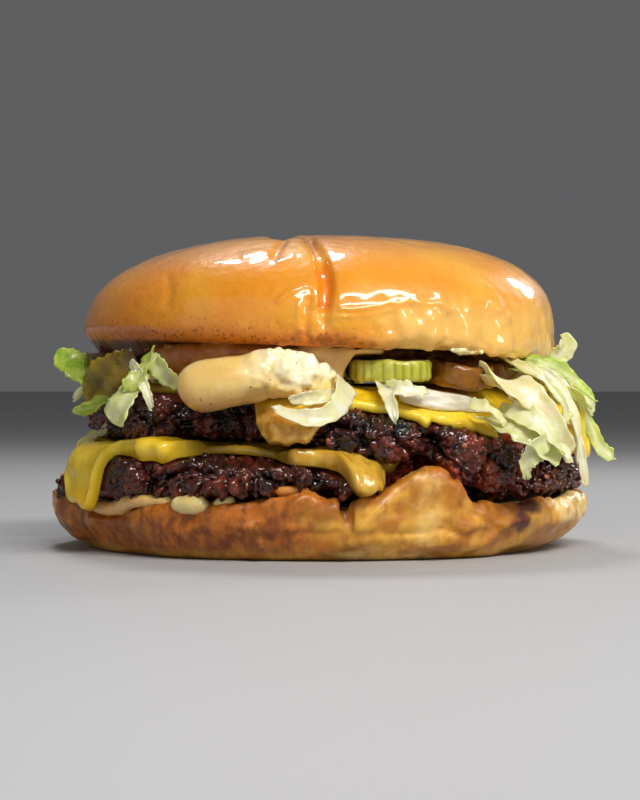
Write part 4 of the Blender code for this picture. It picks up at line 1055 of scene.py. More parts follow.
def make_onion(finish):
    """A curved strip of onion lying on the upper slice at the front right."""
    angles = np.linspace(*ONION_RUN, 60)
    share = (angles - ONION_RUN[0]) / (ONION_RUN[1] - ONION_RUN[0])
    middle = 47.6 * MM + 0.6 * MM * np.sin(np.radians((angles - ONION_RUN[0]) * 12))
    plump = np.clip(1 - np.abs(2 * share - 1) ** 14, 0.0, 1) ** 0.4 * (1 - 0.30 * share**2) + 0.02
    turns = np.linspace(0, 2 * math.pi, 40, endpoint=False)
    rings = []
    for i, angle in enumerate(angles):
        boxy = np.abs(np.cos(turns)) ** ONION_BOXINESS + np.abs(np.sin(turns)) ** ONION_BOXINESS
        boxy = boxy ** (-1 / ONION_BOXINESS)
        across, over = np.cos(turns) * boxy * 1.1 * MM * plump[i], np.sin(turns) * boxy * 2.0 * MM * plump[i]
        radius = middle[i] + across - 0.35 * over
        base = upper_top(middle[i : i + 1], np.array([angle]))[0] + CHEESE_THICKNESS
        rings.append(at(radius, angle, base + 2.9 * MM - 1.2 * MM * share[i] + over + 0.25 * across))
    grid = np.stack(rings)[:, ::-1]
    grid += outward(grid) * (0.10 * MM * noise(grid, 2.5 * MM, 52))[..., None]
    return settle(ring_solid("onion_strip", grid, finish), "white_onion", "onion")


# Lettuce

LEAF_THICKNESS = 0.38 * MM


class Heap:
    """Collects closed strips as one mesh."""

    def __init__(self):
        self.points, self.faces, self.count = [], [], 0
        self.marks = {"green": [], "rib": [], "sauced": [], "wilted": []}

    def add(self, upper, lower, marks):
        """A strip with an upper and a lower grid of the same size."""
        rows, columns = upper.shape[:2]
        size = rows * columns
        top = self.count + np.arange(size).reshape(rows, columns)
        corners = np.stack([top[:-1, :-1], top[1:, :-1], top[1:, 1:], top[:-1, 1:]], axis=-1).reshape(-1, 4)
        rim = np.concatenate([top[0, :-1], top[:-1, -1], top[-1, :0:-1], top[:0:-1, 0]])
        onward = np.roll(rim, -1)
        wall = np.stack([rim, onward, size + onward, size + rim], axis=-1)
        self.faces += np.concatenate([corners, corners[:, ::-1] + size, wall]).tolist()
        self.points += [upper.reshape(-1, 3), lower.reshape(-1, 3)]
        for label, kept in self.marks.items():
            values = np.broadcast_to(marks.get(label, 0.0), (rows, columns)).ravel()
            kept += [values, values]
        self.count += 2 * size

    def piece(self, name, finish):
        marks = {label: np.concatenate(values) for label, values in self.marks.items()}
        made = mesh_object(name, np.concatenate(self.points), self.faces, finish, marks)
        bm = bmesh.new()
        bm.from_mesh(made.data)
        bmesh.ops.recalc_face_normals(bm, faces=bm.faces)
        bm.to_mesh(made.data)
        bm.free()
        return made


def shred(heap, path, width, seed, green=0.3, rib=0.25, face=None, curl=0.3, ruffle=0.35, tip=0.25,
          sauced=0.0, wilted=0.0, rounded=0.0, rows=46, columns=11):
    """A wavy cut strip of lettuce along a path: width in millimetres, face the side it shows.

    Tip is how much narrower it gets. Rounded is the share of its length over which the tip is rounded off.
    The wilt mark goes from 1, golden brown, to 2, nearly black: browning, and painted shade on shreds in
    shadow."""
    draw = np.random.default_rng(seed)
    phase = draw.uniform(0, 6.28, 6)
    share = np.linspace(0, 1, rows)[:, None]
    across = np.linspace(-1, 1, columns)[None, :]
    knots = np.array(path)
    centres = spline(knots, np.linspace(0, len(knots) - 1, rows))
    ahead = np.gradient(centres, axis=0)
    ahead /= np.linalg.norm(ahead, axis=1, keepdims=True)
    facing = centres * np.array([1.0, 1.0, 0.0])
    if face is not None:
        facing = np.tile(np.array(face, float), (rows, 1))
    facing /= np.maximum(np.linalg.norm(facing, axis=1, keepdims=True), 1e-9)
    side = np.cross(facing, ahead)
    side /= np.maximum(np.linalg.norm(side, axis=1, keepdims=True), 1e-9)
    normal = np.cross(ahead, side)
    twist = 0.5 * np.sin(share[:, 0] * 4 + phase[5])
    side, normal = (side * np.cos(twist)[:, None] + normal * np.sin(twist)[:, None],
                    normal * np.cos(twist)[:, None] - side * np.sin(twist)[:, None])
    ragged = 1 + 0.10 * np.sin(share * 7 + phase[0]) + 0.05 * np.sin(share * 21 + phase[1])
    ends = ease(share / 0.05 + 0.25) * ease((1 - share) / 0.06 + 0.2)
    if rounded:
        ends = np.sqrt(np.clip(1 - np.clip((share - 1 + rounded) / rounded, 0, 0.999) ** 2, 0, 1))
    half = 0.5 * width * MM * ragged * (1 - tip * share**2) * ends
    fringe = half * (1 + 0.07 * np.sin(share * 46 + phase[2]) * (np.abs(across) > 0.95))
    fold = curl * half * (np.abs(across) ** 1.5 - 0.4) * (1 + 0.5 * np.sin(share * 5 + phase[3]))
    wave = np.sin(share * (width * 2.2 + 9) + phase[4] + 1.4 * across)
    frill = ruffle * MM * wave * (0.15 + np.abs(across) ** 1.5)
    slant = np.sin(across * 2.3 + phase[3]) * ease((share - 0.8) / 0.2)
    cut = 0.5 * width * MM * 0.35 * slant * (not rounded)
    surface = centres[:, None] + side[:, None] * (fringe * across)[..., None]
    surface += normal[:, None] * (fold + frill)[..., None] + ahead[:, None] * cut[..., None]
    surface += normal[:, None] * (0.22 * MM * layered(surface, 2.0 * MM, seed, 2))[..., None]
    spine = np.exp(-((across / 0.25) ** 2))
    thick = LEAF_THICKNESS * (0.6 + 1.6 * spine * rib) + 0 * share
    lift = normal[:, None] * (thick / 2)[..., None]
    greenness = green * (0.6 + 0.55 * np.abs(across)) + 0.22 * noise(surface, 4 * MM, seed + 3)
    heap.add(surface + lift, surface - lift, {
        "green": np.clip(greenness, 0, 1), "rib": np.clip(spine * rib * 1.5, 0, 1) + 0 * share,
        "sauced": np.clip(sauced * (0.6 + noise(surface, 3 * MM, seed + 4)), 0, 1),
        "wilted": np.clip(wilted * (0.9 + 0.5 * noise(surface, 5 * MM, seed + 5)), 0, 2)})


# The ways shreds face
FRONT = (0.15, -1.0, 0.25)
LEFT = (-0.4, -1.0, 0.3)
RIGHT = (0.55, -0.9, 0.3)
UP_RIGHT = (0.5, -0.5, 0.7)

# The shreds that show in the photograph: column, row and depth in millimetres of each point, then width in
# millimetres and options
PHOTO_SHREDS = (
    (((106, 381, -14), (92, 374, -11), (78, 366, -9), (66, 359, -8), (57, 351, -7)), 6.4,
     dict(green=1.8, rib=0.0, face=LEFT, tip=0.1, rounded=0.35, ruffle=0.15, curl=0.2)),
    (((142, 370, -40), (135, 383, -44), (127, 395, -47), (119, 407, -48.5), (112, 423, -48)), 4.2,
     dict(green=0.45, rib=0.05, face=LEFT, tip=-1.35, rounded=0.2, ruffle=0.05, curl=0.12)),
    (((131, 362, -40), (137, 372, -45), (143, 384, -47), (148, 397, -48), (152, 409, -47)), 2.3,
     dict(green=0.0, rib=0.7, face=LEFT, tip=0.4, ruffle=0.12)),
    (((151, 352, -40), (147, 362, -44), (141, 372, -46), (133, 381, -47), (125, 390, -47)), 3.6,
     dict(green=0.9, rib=0.0, face=LEFT, tip=0.2, ruffle=0.15, wilted=0.25)),
    (((148, 356, -38), (157, 366, -42), (166, 375, -43), (178, 384, -42)), 4.0,
     dict(green=0.55, rib=0.1, face=LEFT, ruffle=0.2, tip=0.2)),
    # Painted shade: the next two shreds lie in shadow and are darkened golden brown and nearly black through
    # the wilt mark
    (((130, 362, -28), (112, 372, -27), (97, 384, -26), (85, 401, -24)), 7.2,
     dict(green=0.6, rib=0.0, face=LEFT, wilted=1.35, rounded=0.35, ruffle=0.15, tip=-0.1)),
    (((140, 365, -36), (129, 371, -37), (117, 381, -37), (106, 395, -36)), 7.6,
     dict(green=0.6, rib=0.0, face=LEFT, wilted=2.3, rounded=0.35, ruffle=0.15)),
    (((116, 395, -34), (104, 401, -33), (90, 408, -30), (72, 412, -26)), 3.0,
     dict(green=1.5, rib=0.0, face=LEFT, wilted=0.25, ruffle=0.15, rounded=0.2)),
    (((108, 428, -20), (98, 434, -18), (88, 440, -16), (80, 445, -15)), 2.6,
     dict(green=0.6, rib=0.1, face=LEFT, wilted=0.4, rounded=0.3)),
    (((346, 382, -44), (343, 396, -51), (334, 410, -54.5), (316, 418, -56), (296, 417, -56), (274, 409, -54)),
     4.8,
     dict(green=0.0, rib=0.1, face=FRONT, tip=0.55, ruffle=0.15)),
    (((340, 392, -46), (326, 396, -52), (308, 398, -54), (290, 400, -54)), 3.0,
     dict(green=0.0, rib=0.1, face=FRONT, tip=0.4, sauced=0.1, ruffle=0.15)),
    (((384, 378, -38), (386, 388, -46), (390, 400, -51), (396, 421, -53)), 4.2,
     dict(green=0.0, rib=0.5, face=FRONT, tip=0.75)),
    (((384, 388, -45), (398, 388, -49), (412, 390, -49), (426, 394, -47)), 3.4,
     dict(green=0.05, rib=0.4, face=FRONT, tip=0.3)),
    (((488, 414, -38), (508, 421, -44), (526, 433, -46), (542, 447, -46), (560, 460, -44)), 9.0,
     dict(green=0.3, rib=0.05, face=RIGHT, tip=-0.1, ruffle=0.3, curl=0.4, rounded=0.25)),
    (((510, 408, -42), (530, 417, -45.5), (546, 431, -46), (558, 446, -45), (570, 458, -43)), 4.6,
     dict(green=0.1, rib=0.3, face=RIGHT, tip=0.1, ruffle=0.25, rounded=0.2)),
    (((548, 440, -47), (538, 447, -49), (530, 457, -49.5), (526, 466, -49), (527, 478, -48)), 4.6,
     dict(green=0.35, rib=0.1, face=RIGHT, tip=0.7, ruffle=0.2, curl=0.5)),
    (((484, 374, -32), (506, 380, -40), (528, 393, -43), (546, 413, -43.5), (560, 436, -43), (572, 458, -41)),
     6.4,
     dict(green=0.0, rib=0.4, face=RIGHT, sauced=0.35, tip=0.45, ruffle=0.2)),
    (((470, 404, -45), (482, 407, -47), (494, 413, -47), (505, 424, -46)), 3.0,
     dict(green=0.25, rib=0.1, face=RIGHT, ruffle=0.2, sauced=0.2)),
    (((486, 382, -34), (500, 384, -38), (514, 392, -40), (524, 404, -41)), 5.0,
     dict(green=0.0, rib=0.2, face=RIGHT, sauced=1.0)),
    (((508, 360, -26), (526, 368, -32), (548, 384, -34), (562, 404, -34), (568, 422, -34)), 3.4,
     dict(green=0.5, rib=0.3, face=RIGHT, sauced=0.3)),
    (((520, 366, -26), (548, 376, -30), (566, 396, -30), (575, 424, -30), (578, 462, -30)), 2.6,
     dict(green=0.0, rib=0.8, face=RIGHT, tip=0.1)),
    (((505, 360, -22), (536, 362, -24), (560, 370, -22), (578, 384, -20), (595, 401, -18)), 4.0,
     dict(green=0.9, rib=0.1, face=UP_RIGHT, tip=0.6)),
    (((508, 366, -22), (538, 368, -26), (560, 378, -24), (578, 394, -21), (590, 408, -19)), 3.6,
     dict(green=0.6, rib=0.2, face=UP_RIGHT, tip=0.3)),
    (((520, 360, -16), (552, 364, -16), (572, 380, -16), (586, 398, -15), (592, 414, -14)), 3.0,
     dict(green=0.3, rib=0.4, face=UP_RIGHT)),
    (((560, 392, -18), (580, 408, -16), (592, 430, -14), (601, 448, -13), (614, 458, -12)), 3.0,
     dict(green=0.7, rib=0.3, face=RIGHT, tip=0.1)),
    (((510, 366, -8), (540, 362, -8), (558, 356, -8), (566, 346, -8), (561, 338, -9)), 4.4,
     dict(green=0.1, rib=0.3, face=RIGHT, ruffle=0.2)),
    (((560, 400, -26), (574, 420, -24), (580, 448, -22), (586, 487, -21)), 2.2,
     dict(green=0.0, rib=0.5, face=RIGHT, sauced=0.5)),
)

# Shreds that hang where the photograph doesn't reach: (radius, heading, height) from root to tip, then width
BACK_SHREDS = (
    (((36, 12, 36.0), (46, 12, 36.2), (54, 10, 34.5), (57.5, 8, 30.0)), 5.0),
    (((36, 33, 36.0), (46, 34, 36.0), (53.5, 36, 33.5), (56.0, 38, 28.5)), 4.0),
    (((36, 56, 36.0), (46, 55, 36.0), (53.0, 53, 34.5), (57.0, 50, 32.0)), 4.5),
    (((36, 80, 36.0), (46, 81, 36.0), (53.0, 82, 33.5), (55.5, 84, 28.0)), 5.0),
    (((36, 122, 36.0), (46, 123, 36.0), (53.0, 125, 33.5), (55.5, 128, 28.5)), 4.0),
    (((36, 141, 36.0), (46, 140, 36.0), (53.0, 138, 35.0), (57.5, 135, 33.0)), 4.5),
)
BED_SHREDS = 150
# Headings between which more shreds hang out from under the crown, and how many do
LOOSE_RUNS = ((328, 392, 16), (44, 172, 18))


def loose_shred(heap, heading, draw, seed):
    """A shred that hangs out over the edge of the layers below."""
    reach, drop = draw.uniform(50, 56), draw.uniform(1.0, 7.0)
    turn = draw.uniform(-7, 7)
    stops = ((36, 0.0, 0.2), (45, 0.3, 0.4), ((reach + 45) / 2 + 1, 0.6, -0.15 * drop), (reach, 1.0, -drop))
    path = [at(radius * MM, heading + turn * share, (36.2 + rise) * MM) for radius, share, rise in stops]
    shred(heap, path, draw.uniform(2.0, 4.2), seed, draw.uniform(0, 0.9), draw.uniform(0, 0.6), face=None,
          ruffle=0.45, rows=30, columns=8, sauced=draw.uniform(-0.6, 0.5), wilted=draw.uniform(-0.5, 0.35))


def bed_shred(heap, heading, draw, seed):
    """A strip that lies in the bed under the crown, its end near the edge of the layer below."""
    outer = 43.5 + draw.uniform(-4, 5)
    if plateau(heading, 276, 350, 6) > 0.3:
        outer = 24 + draw.uniform(-3, 2)
    if plateau(heading, 226, 277, 6) > 0.3:
        outer = 40.5 + draw.uniform(-3, 1.5)
    spread = draw.uniform(-16, 16)
    level = draw.uniform(35.7, 36.5)
    sag = draw.uniform(-1.4, 0.4) if outer > 44 else 0.0
    stops = ((0.45, 1.0, 0.0), (0.72, 0.5, 0.1), (0.9, 0.15, 0.0), (1.0, 0.0, sag))
    path = []
    for share, turn, rise in stops:
        path.append(at(outer * share * MM, heading + spread * turn, (level + rise) * MM))
    shred(heap, path, draw.uniform(1.8, 4.0), seed, draw.uniform(0, 0.75), draw.uniform(0, 0.5),
          face=(0, 0, 1), ruffle=0.3, rows=20, columns=6, wilted=draw.uniform(-0.3, 0.6))


def make_lettuce(finish):
    heap = Heap()
    for k, (places, width, options) in enumerate(PHOTO_SHREDS):
        shred(heap, [seen(*place) for place in places], width, 300 + k, **options)
    for k, (points, width) in enumerate(BACK_SHREDS):
        path = [at(radius * MM, heading, height * MM) for radius, heading, height in points]
        shred(heap, path, width, 400 + k, 0.3 + 0.08 * k, 0.3)
    draw = np.random.default_rng(7)
    for k in range(BED_SHREDS):
        bed_shred(heap, k * 360 / BED_SHREDS + draw.uniform(-4, 4), draw, 500 + k)
    for start, end, count in LOOSE_RUNS:
        for k in range(count):
            heading = start + (end - start) * (k + draw.uniform(0.2, 0.8)) / count
            loose_shred(heap, heading, draw, 800 + start + k)
    return settle(heap.piece("lettuce_shreds", finish), "leaf", "lettuce")


# The crown

# Creases in the glazed top as plan points in millimetres, then depth, half-width and the length over which
# each one deepens
CREASES = (
    (((-3.0, -4.0), (-2.6, -18.0), (-1.6, -30.0), (0.2, -40.0), (1.1, -46.0), (0.8, -50.0)), 1.1, 1.2, 24.0),
    (((-7.5, 16.0), (-8.5, 2.0), (-8.0, -10.0), (-9.5, -20.0)), 1.9, 2.2, 3.0),
    (((8.0, 50.0), (4.0, 36.0), (-3.0, 22.0), (-7.5, 16.0)), 1.8, 2.4, 3.0),
)

# Finer folds in the front of the crust as it is seen: column, row pairs in the photograph, depth, half-width
FRONT_FOLDS = (
    (((311, 242), (315, 252), (319, 263), (322, 270)), 0.45, 0.5),
    (((322, 268), (326, 280), (327, 290), (324, 306)), 1.1, 1.25),
    (((309, 300), (307, 318), (307, 336)), 0.55, 0.7),
    (((278, 302), (285, 295), (293, 291), (301, 287), (310, 286), (316, 293), (316, 306)), -0.34, 0.55),
    (((299, 302), (298, 316), (299, 330)), -0.28, 0.5),
    (((283, 240), (277, 250), (273, 258)), 0.5, 1.1),
    (((245, 256), (262, 252), (277, 262), (292, 256)), -0.25, 0.8),
    (((340, 309), (362, 309), (384, 305), (400, 303), (440, 304), (449, 311)), -0.28, 0.6),
    (((337, 317), (362, 316), (386, 311), (398, 306)), -0.22, 0.5),
    (((168, 278), (169, 292), (167, 303)), 0.30, 1.1),
)

# Where the glaze's bulges along the front right rim meet, as headings, and how deep the valleys there are
RIM_VALLEYS = ((287.6, 0.45), (294.2, 0.6), (299.9, 0.45), (311.8, 0.6), (323.0, 0.3), (337.5, 0.25))


def nearest_on(path, first, second, far=1.0):
    """How far points of a plane lie from a path in it."""
    nearest = np.full(first.shape, far)
    for start, end in zip(path, path[1:]):
        run = end - start
        along = (first - start[0]) * run[0] + (second - start[1]) * run[1]
        share = np.clip(along / max(run.dot(run), 1e-12), 0, 1)
        away = np.hypot(first - start[0] - share * run[0], second - start[1] - share * run[1])
        nearest = np.minimum(nearest, away)
    return nearest


def crease_depth(x, y):
    """How far the main creases pull the crust in at plan points."""
    total = np.zeros(x.shape)
    for points, depth, half_width, fade in CREASES:
        path = spline(np.array(points) * MM, np.linspace(0, len(points) - 1, 24))
        dent = np.exp(-((nearest_on(path, x, y) / (half_width * MM)) ** 2))
        dent *= ease(np.hypot(x - path[0][0], y - path[0][1]) / (fade * MM))
        total = np.maximum(total, depth * MM * dent)
    return total


def crown_radius(angle):
    return CROWN_RADIUS + 0.5 * MM * ring_noise(angle, 6, 61) - 0.6 * MM * bump(angle, 270, 4)


def crown_point(angle, rise):
    """A point of the crust at a heading and a rise in degrees, from under the rim to the top."""
    bend = np.radians(rise)
    squareness = 2.62 + 0.26 * np.cos(np.radians(angle)) - 0.30 * bump(angle, 186, 62)
    widest = 3.4 * MM
    above = np.maximum(np.sin(bend), 0)
    across = np.maximum(np.cos(bend), 0)
    radius = crown_radius(angle) * np.where(rise > 0, across ** (2 / squareness), 1.0)
    radius = radius - np.where(rise < 0, 2.6 * MM * (1 - np.cos(bend)), 0.0)
    height = widest + (CROWN_HEIGHT - widest) * above ** (2 / squareness)
    height = np.where(rise < 0, widest * (1 + np.sin(bend)), height)
    point = at(radius, angle, height)
    curl = 1.1 * MM * plateau(angle, 318, 372, 14) * (1 - ease(height / (8 * MM)))
    flare = bump(angle, 184, 30) * (1 - ease(height / (7 * MM)))
    droop_share = plateau(angle, 160, 211, 24) * (1 - ease(height / (3.2 * MM)))
    point[..., :2] *= (1 + (1.3 * MM * flare - 3.6 * MM * droop_share) / CROWN_RADIUS)[..., None]
    point[..., 2] += crown_underside(point) - curl - 0.4 * MM * flare - 3.1 * MM * droop_share
    pull = crease_depth(point[..., 0], point[..., 1]) * ease((height - 1.5 * MM) / (4 * MM))
    spin = np.radians(angle)
    outwards = np.stack([np.cos(spin) * across, np.sin(spin) * across, above], axis=-1)
    return point - outwards * pull[..., None]


# Rings of the crown's cut face, as shares of its radius
CUT_RINGS = (0.5, 0.7, 0.82, 0.90, 0.935)


def make_crown(finish):
    angles = np.arange(720) * 0.5
    grid = []
    for share in CUT_RINGS:
        flat = at(crown_radius(angles) * share, angles, 0.0)
        flat[:, 2] = crown_underside(flat)
        grid.append(flat)
    rises = np.concatenate([np.linspace(-80, 0, 16)[:-1], np.linspace(0, 1, 76)[:-1] ** 1.35 * 86.5, [87.5]])
    for rise in rises:
        grid.append(crown_point(angles, np.full(len(angles), rise)))
    grid = np.stack(grid)
    normal = outward(grid)
    base = crown_underside(grid)
    height = grid[..., 2] - base
    heading = np.broadcast_to(angles, height.shape)
    crust = np.ones(height.shape)
    crust[: len(CUT_RINGS)] = 0.0
    relief = 0.22 * noise(grid, 17 * MM, 62) + 0.12 * noise(grid, 6.5 * MM, 63)
    relief += 0.035 * noise(grid, 2.2 * MM, 64)
    near_crease = np.exp(-(((grid[..., 0] + 3 * MM) / (9 * MM)) ** 2)) * (grid[..., 1] < -20 * MM)
    crinkles = noise(grid, 1.9 * MM, 69) * (0.02 + 0.09 * near_crease)
    lying = noise(grid * np.array([0.6, 1, 1.6]), 2.6 * MM, 70)
    crinkles += 0.05 * lying * ease((grid[..., 0] + 5 * MM) / (20 * MM))
    relief += crinkles
    low = ease((9.5 * MM - height) / (5 * MM))
    for middle, depth in RIM_VALLEYS:
        drift = middle + 1.6 * noise(grid * np.array([0, 0, 1]) + middle, 5 * MM, 65)
        relief -= depth * bump(heading, drift, 2.0) * low
    blobs = noise(grid, 4.2 * MM, 66) + 0.4 * noise(grid, 2.0 * MM, 68)
    relief += 0.75 * ease((13 * MM - height) / (5 * MM)) * plateau(heading, 286, 316, 14) * blobs
    relief += 0.3 * ease((11 * MM - height) / (5 * MM)) * plateau(heading, 330, 352, 14) * blobs
    relief -= 0.3 * ease((height - 14 * MM) / (8 * MM)) * ease((15 * MM - grid[..., 0]) / (20 * MM))
    relief = relief * MM
    view = (VIEW_DISTANCE + grid[..., 1]) / VIEW_DISTANCE * VIEW_PIXEL
    column = VIEW_COLUMN + grid[..., 0] / view
    row = VIEW_ROW - (grid[..., 2] - VIEW_HEIGHT + grid[..., 1] * math.sin(VIEW_ELEVATION)) / view
    fold_mark = np.zeros(height.shape)
    for points, depth, half_width in FRONT_FOLDS:
        path = spline(np.array(points, float), np.linspace(0, len(points) - 1, 20))
        away = nearest_on(path, column, row, 1e3) * VIEW_PIXEL
        dent = np.exp(-((away / (half_width * MM)) ** 2)) * ease((-4 * MM - grid[..., 1]) / (6 * MM))
        relief -= depth * MM * dent
        fold_mark = np.maximum(fold_mark, dent * min(1.4 * depth - 0.4, 0.95))
    fringe = ease((1.9 * MM - height) / (1.6 * MM)) * crust
    ragged = layered(grid, 1.5 * MM, 67)
    relief += 0.20 * MM * ragged * fringe
    grid = grid + normal * (relief * crust)[..., None]
    crease = crease_depth(grid[..., 0], grid[..., 1]) / (2.2 * MM)
    # Painted shade: the left side is darkened through the bake mark, on top of the browner low rim
    left = ease((-grid[..., 0] - 5 * MM) / (45 * MM))
    glazed = plateau(heading, 292, 354, 14)
    bake = 0.8 * ease((6.0 * MM - height + 1.0 * MM * ragged) / (6 * MM)) * (1 - glazed) + 0.35 * left
    taller = 1.4 * MM * bump(heading, 268, 9) + 0.5 * MM * noise(grid, 6 * MM, 71)
    taller -= 1.0 * MM * plateau(heading, 222, 256, 8)
    toasted = ease((2.0 * MM + taller - height + 0.8 * MM * ragged) / (1.8 * MM))
    toasted = toasted * (1 - plateau(heading, 291, 350, 7))
    dull = ease((3.4 * MM - height) / (2.4 * MM)) * (1 - plateau(heading, 286, 350, 9))
    # Painted shade under the left rim's lip, dark red where it is also toasted
    under = ease((0.4 * MM - height + 0.3 * MM * ragged) / (0.8 * MM)) * plateau(heading, 150, 236, 10)
    marks = {
        "crease": np.clip(fold_mark + 0.35 * ease(crease - 0.35), 0, 1) * ease((height - 1 * MM) / (3 * MM)),
        "bake": np.clip(bake, 0, 1) * crust,
        # light: paler glaze low on the front right rim, plus painted light brightening the right side
        "light": 0.75 * glazed * ease((13 * MM - height) / (8 * MM)) + 0.1 * ease(grid[..., 0] / (30 * MM)),
        "toast": 0.66 * np.clip(toasted, 0, 1) * crust,
        "under": under * crust,
        "dull": np.clip(dull, 0, 1) * crust,
        "cut": 1 - crust,
    }
    return settle(ring_solid("crown_crust", grid, finish, marks), "crust", "crown")


# Small bits scattered by Geometry Nodes

# Bits lie only where the mark is higher than this
BARE_ENOUGH = 0.6


def scatter_tree():
    """A tree that scatters lumpy bits over a surface, where its 'bare' mark is high."""
    tree = bpy.data.node_groups.new("scatter_bits", "GeometryNodeTree")
    face = tree.interface
    face.new_socket("Geometry", in_out="INPUT", socket_type="NodeSocketGeometry")
    for label, kind, value in (
        ("Bits for each square metre", "NodeSocketFloat", 1e5), ("Seed", "NodeSocketInt", 1),
        ("Smallest", "NodeSocketFloat", 0.0004), ("Largest", "NodeSocketFloat", 0.001),
        ("Flatness", "NodeSocketFloat", 1.0), ("Roughness", "NodeSocketFloat", 0.3),
        ("Finish", "NodeSocketMaterial", None),
    ):
        socket = face.new_socket(label, in_out="INPUT", socket_type=kind)
        if value is not None:
            socket.default_value = value
    face.new_socket("Geometry", in_out="OUTPUT", socket_type="NodeSocketGeometry")
    link = tree.links.new

    def add(kind, operation=None, **values):
        """A node with an operation and input values."""
        node = tree.nodes.new(kind)
        if operation:
            node.operation = operation
        for label, value in values.items():
            node.inputs[label].default_value = value
        return node

    entry, leave = add("NodeGroupInput"), add("NodeGroupOutput")
    mark = add("GeometryNodeInputNamedAttribute", Name="bare")
    mark.data_type = "FLOAT"
    above = add("FunctionNodeCompare", "GREATER_THAN")
    above.data_type = "FLOAT"
    above.inputs["B"].default_value = BARE_ENOUGH
    link(mark.outputs["Attribute"], above.inputs["A"])
    spread = add("GeometryNodeDistributePointsOnFaces")
    link(entry.outputs["Geometry"], spread.inputs["Mesh"])
    link(above.outputs["Result"], spread.inputs["Selection"])
    link(entry.outputs["Bits for each square metre"], spread.inputs["Density"])
    link(entry.outputs["Seed"], spread.inputs["Seed"])
    ball = add("GeometryNodeMeshIcoSphere", Radius=1.0, Subdivisions=2)
    size = add("FunctionNodeRandomValue")
    link(entry.outputs["Smallest"], size.inputs[2])
    link(entry.outputs["Largest"], size.inputs[3])
    link(entry.outputs["Seed"], size.inputs["Seed"])
    flatten = add("ShaderNodeMath", "MULTIPLY")
    link(size.outputs[1], flatten.inputs[0])
    link(entry.outputs["Flatness"], flatten.inputs[1])
    sides = add("ShaderNodeCombineXYZ")
    link(size.outputs[1], sides.inputs["X"])
    link(size.outputs[1], sides.inputs["Y"])
    link(flatten.outputs[0], sides.inputs["Z"])
    place = add("GeometryNodeInstanceOnPoints")
    link(spread.outputs["Points"], place.inputs["Points"])
    link(ball.outputs["Mesh"], place.inputs["Instance"])
    link(spread.outputs["Rotation"], place.inputs["Rotation"])
    link(sides.outputs["Vector"], place.inputs["Scale"])
    real = add("GeometryNodeRealizeInstances")
    link(place.outputs["Instances"], real.inputs["Geometry"])
    where = add("GeometryNodeInputPosition")
    rough = add("ShaderNodeTexNoise", Scale=900.0, Detail=2.0)
    link(where.outputs["Position"], rough.inputs["Vector"])
    centre = add("ShaderNodeVectorMath", "SUBTRACT")
    centre.inputs[1].default_value = (0.5, 0.5, 0.5)
    link(rough.outputs["Color"], centre.inputs[0])
    strength = add("ShaderNodeMath", "MULTIPLY")
    link(entry.outputs["Roughness"], strength.inputs[0])
    link(entry.outputs["Largest"], strength.inputs[1])
    amount = add("ShaderNodeVectorMath", "SCALE")
    link(centre.outputs["Vector"], amount.inputs[0])
    link(strength.outputs[0], amount.inputs["Scale"])
    move = add("GeometryNodeSetPosition")
    link(real.outputs["Geometry"], move.inputs["Geometry"])
    link(amount.outputs["Vector"], move.inputs["Offset"])
    smooth = add("GeometryNodeSetShadeSmooth")
    link(move.outputs["Geometry"], smooth.inputs["Geometry"])
    dress = add("GeometryNodeSetMaterial")
    link(smooth.outputs["Geometry"], dress.inputs["Geometry"])
    link(entry.outputs["Finish"], dress.inputs["Material"])
    link(dress.outputs["Geometry"], leave.inputs["Geometry"])
    return tree


def scattered(name, tree, carrier, slot, finish, **values):
    """Bits over a carrier's surface as a plain mesh of their own."""
    host = bpy.data.objects.new(name + "_host", carrier.data)
    bpy.context.scene.collection.objects.link(host)
    modifier = host.modifiers.new("scatter", "NODES")
    modifier.node_group = tree
    values["Finish"] = finish
    for item in tree.interface.items_tree:
        if item.item_type == "SOCKET" and item.in_out == "INPUT" and item.name in values:
            modifier[item.identifier] = values[item.name]
    bpy.context.view_layer.update()
    mesh = bpy.data.meshes.new_from_object(host.evaluated_get(bpy.context.evaluated_depsgraph_get()))
    bpy.data.objects.remove(host)
    mesh.name = name
    made = bpy.data.objects.new(name, mesh)
    bpy.context.scene.collection.objects.link(made)
    return settle(made, slot)


# Studio

# The camera's sensor in millimetres and half the floor's side in metres
SENSOR = 36.0
FLOOR_REACH = 3.0
# The point that the lamps light, then each lamp's heading, rise, distance, width, height, watts and colour
LIT = Vector((0, 0, 0.045))
LAMPS = (
    ("key", 299, 42, 0.65, 0.52, 0.12, 4.4, (1.0, 0.98, 0.95)),
    ("back", 103, 53, 0.60, 0.16, 0.11, 1.3, (1.0, 1.0, 1.0)),
    ("right", 48, 24, 0.50, 0.09, 0.12, 0.6, (1.0, 1.0, 1.0)),
    ("low", 336, 13, 0.60, 0.05, 0.20, 0.45, (1.0, 0.99, 0.97)),
    ("fill", 225, 20, 1.30, 1.30, 1.00, 1.8, (0.97, 0.98, 1.0)),
)


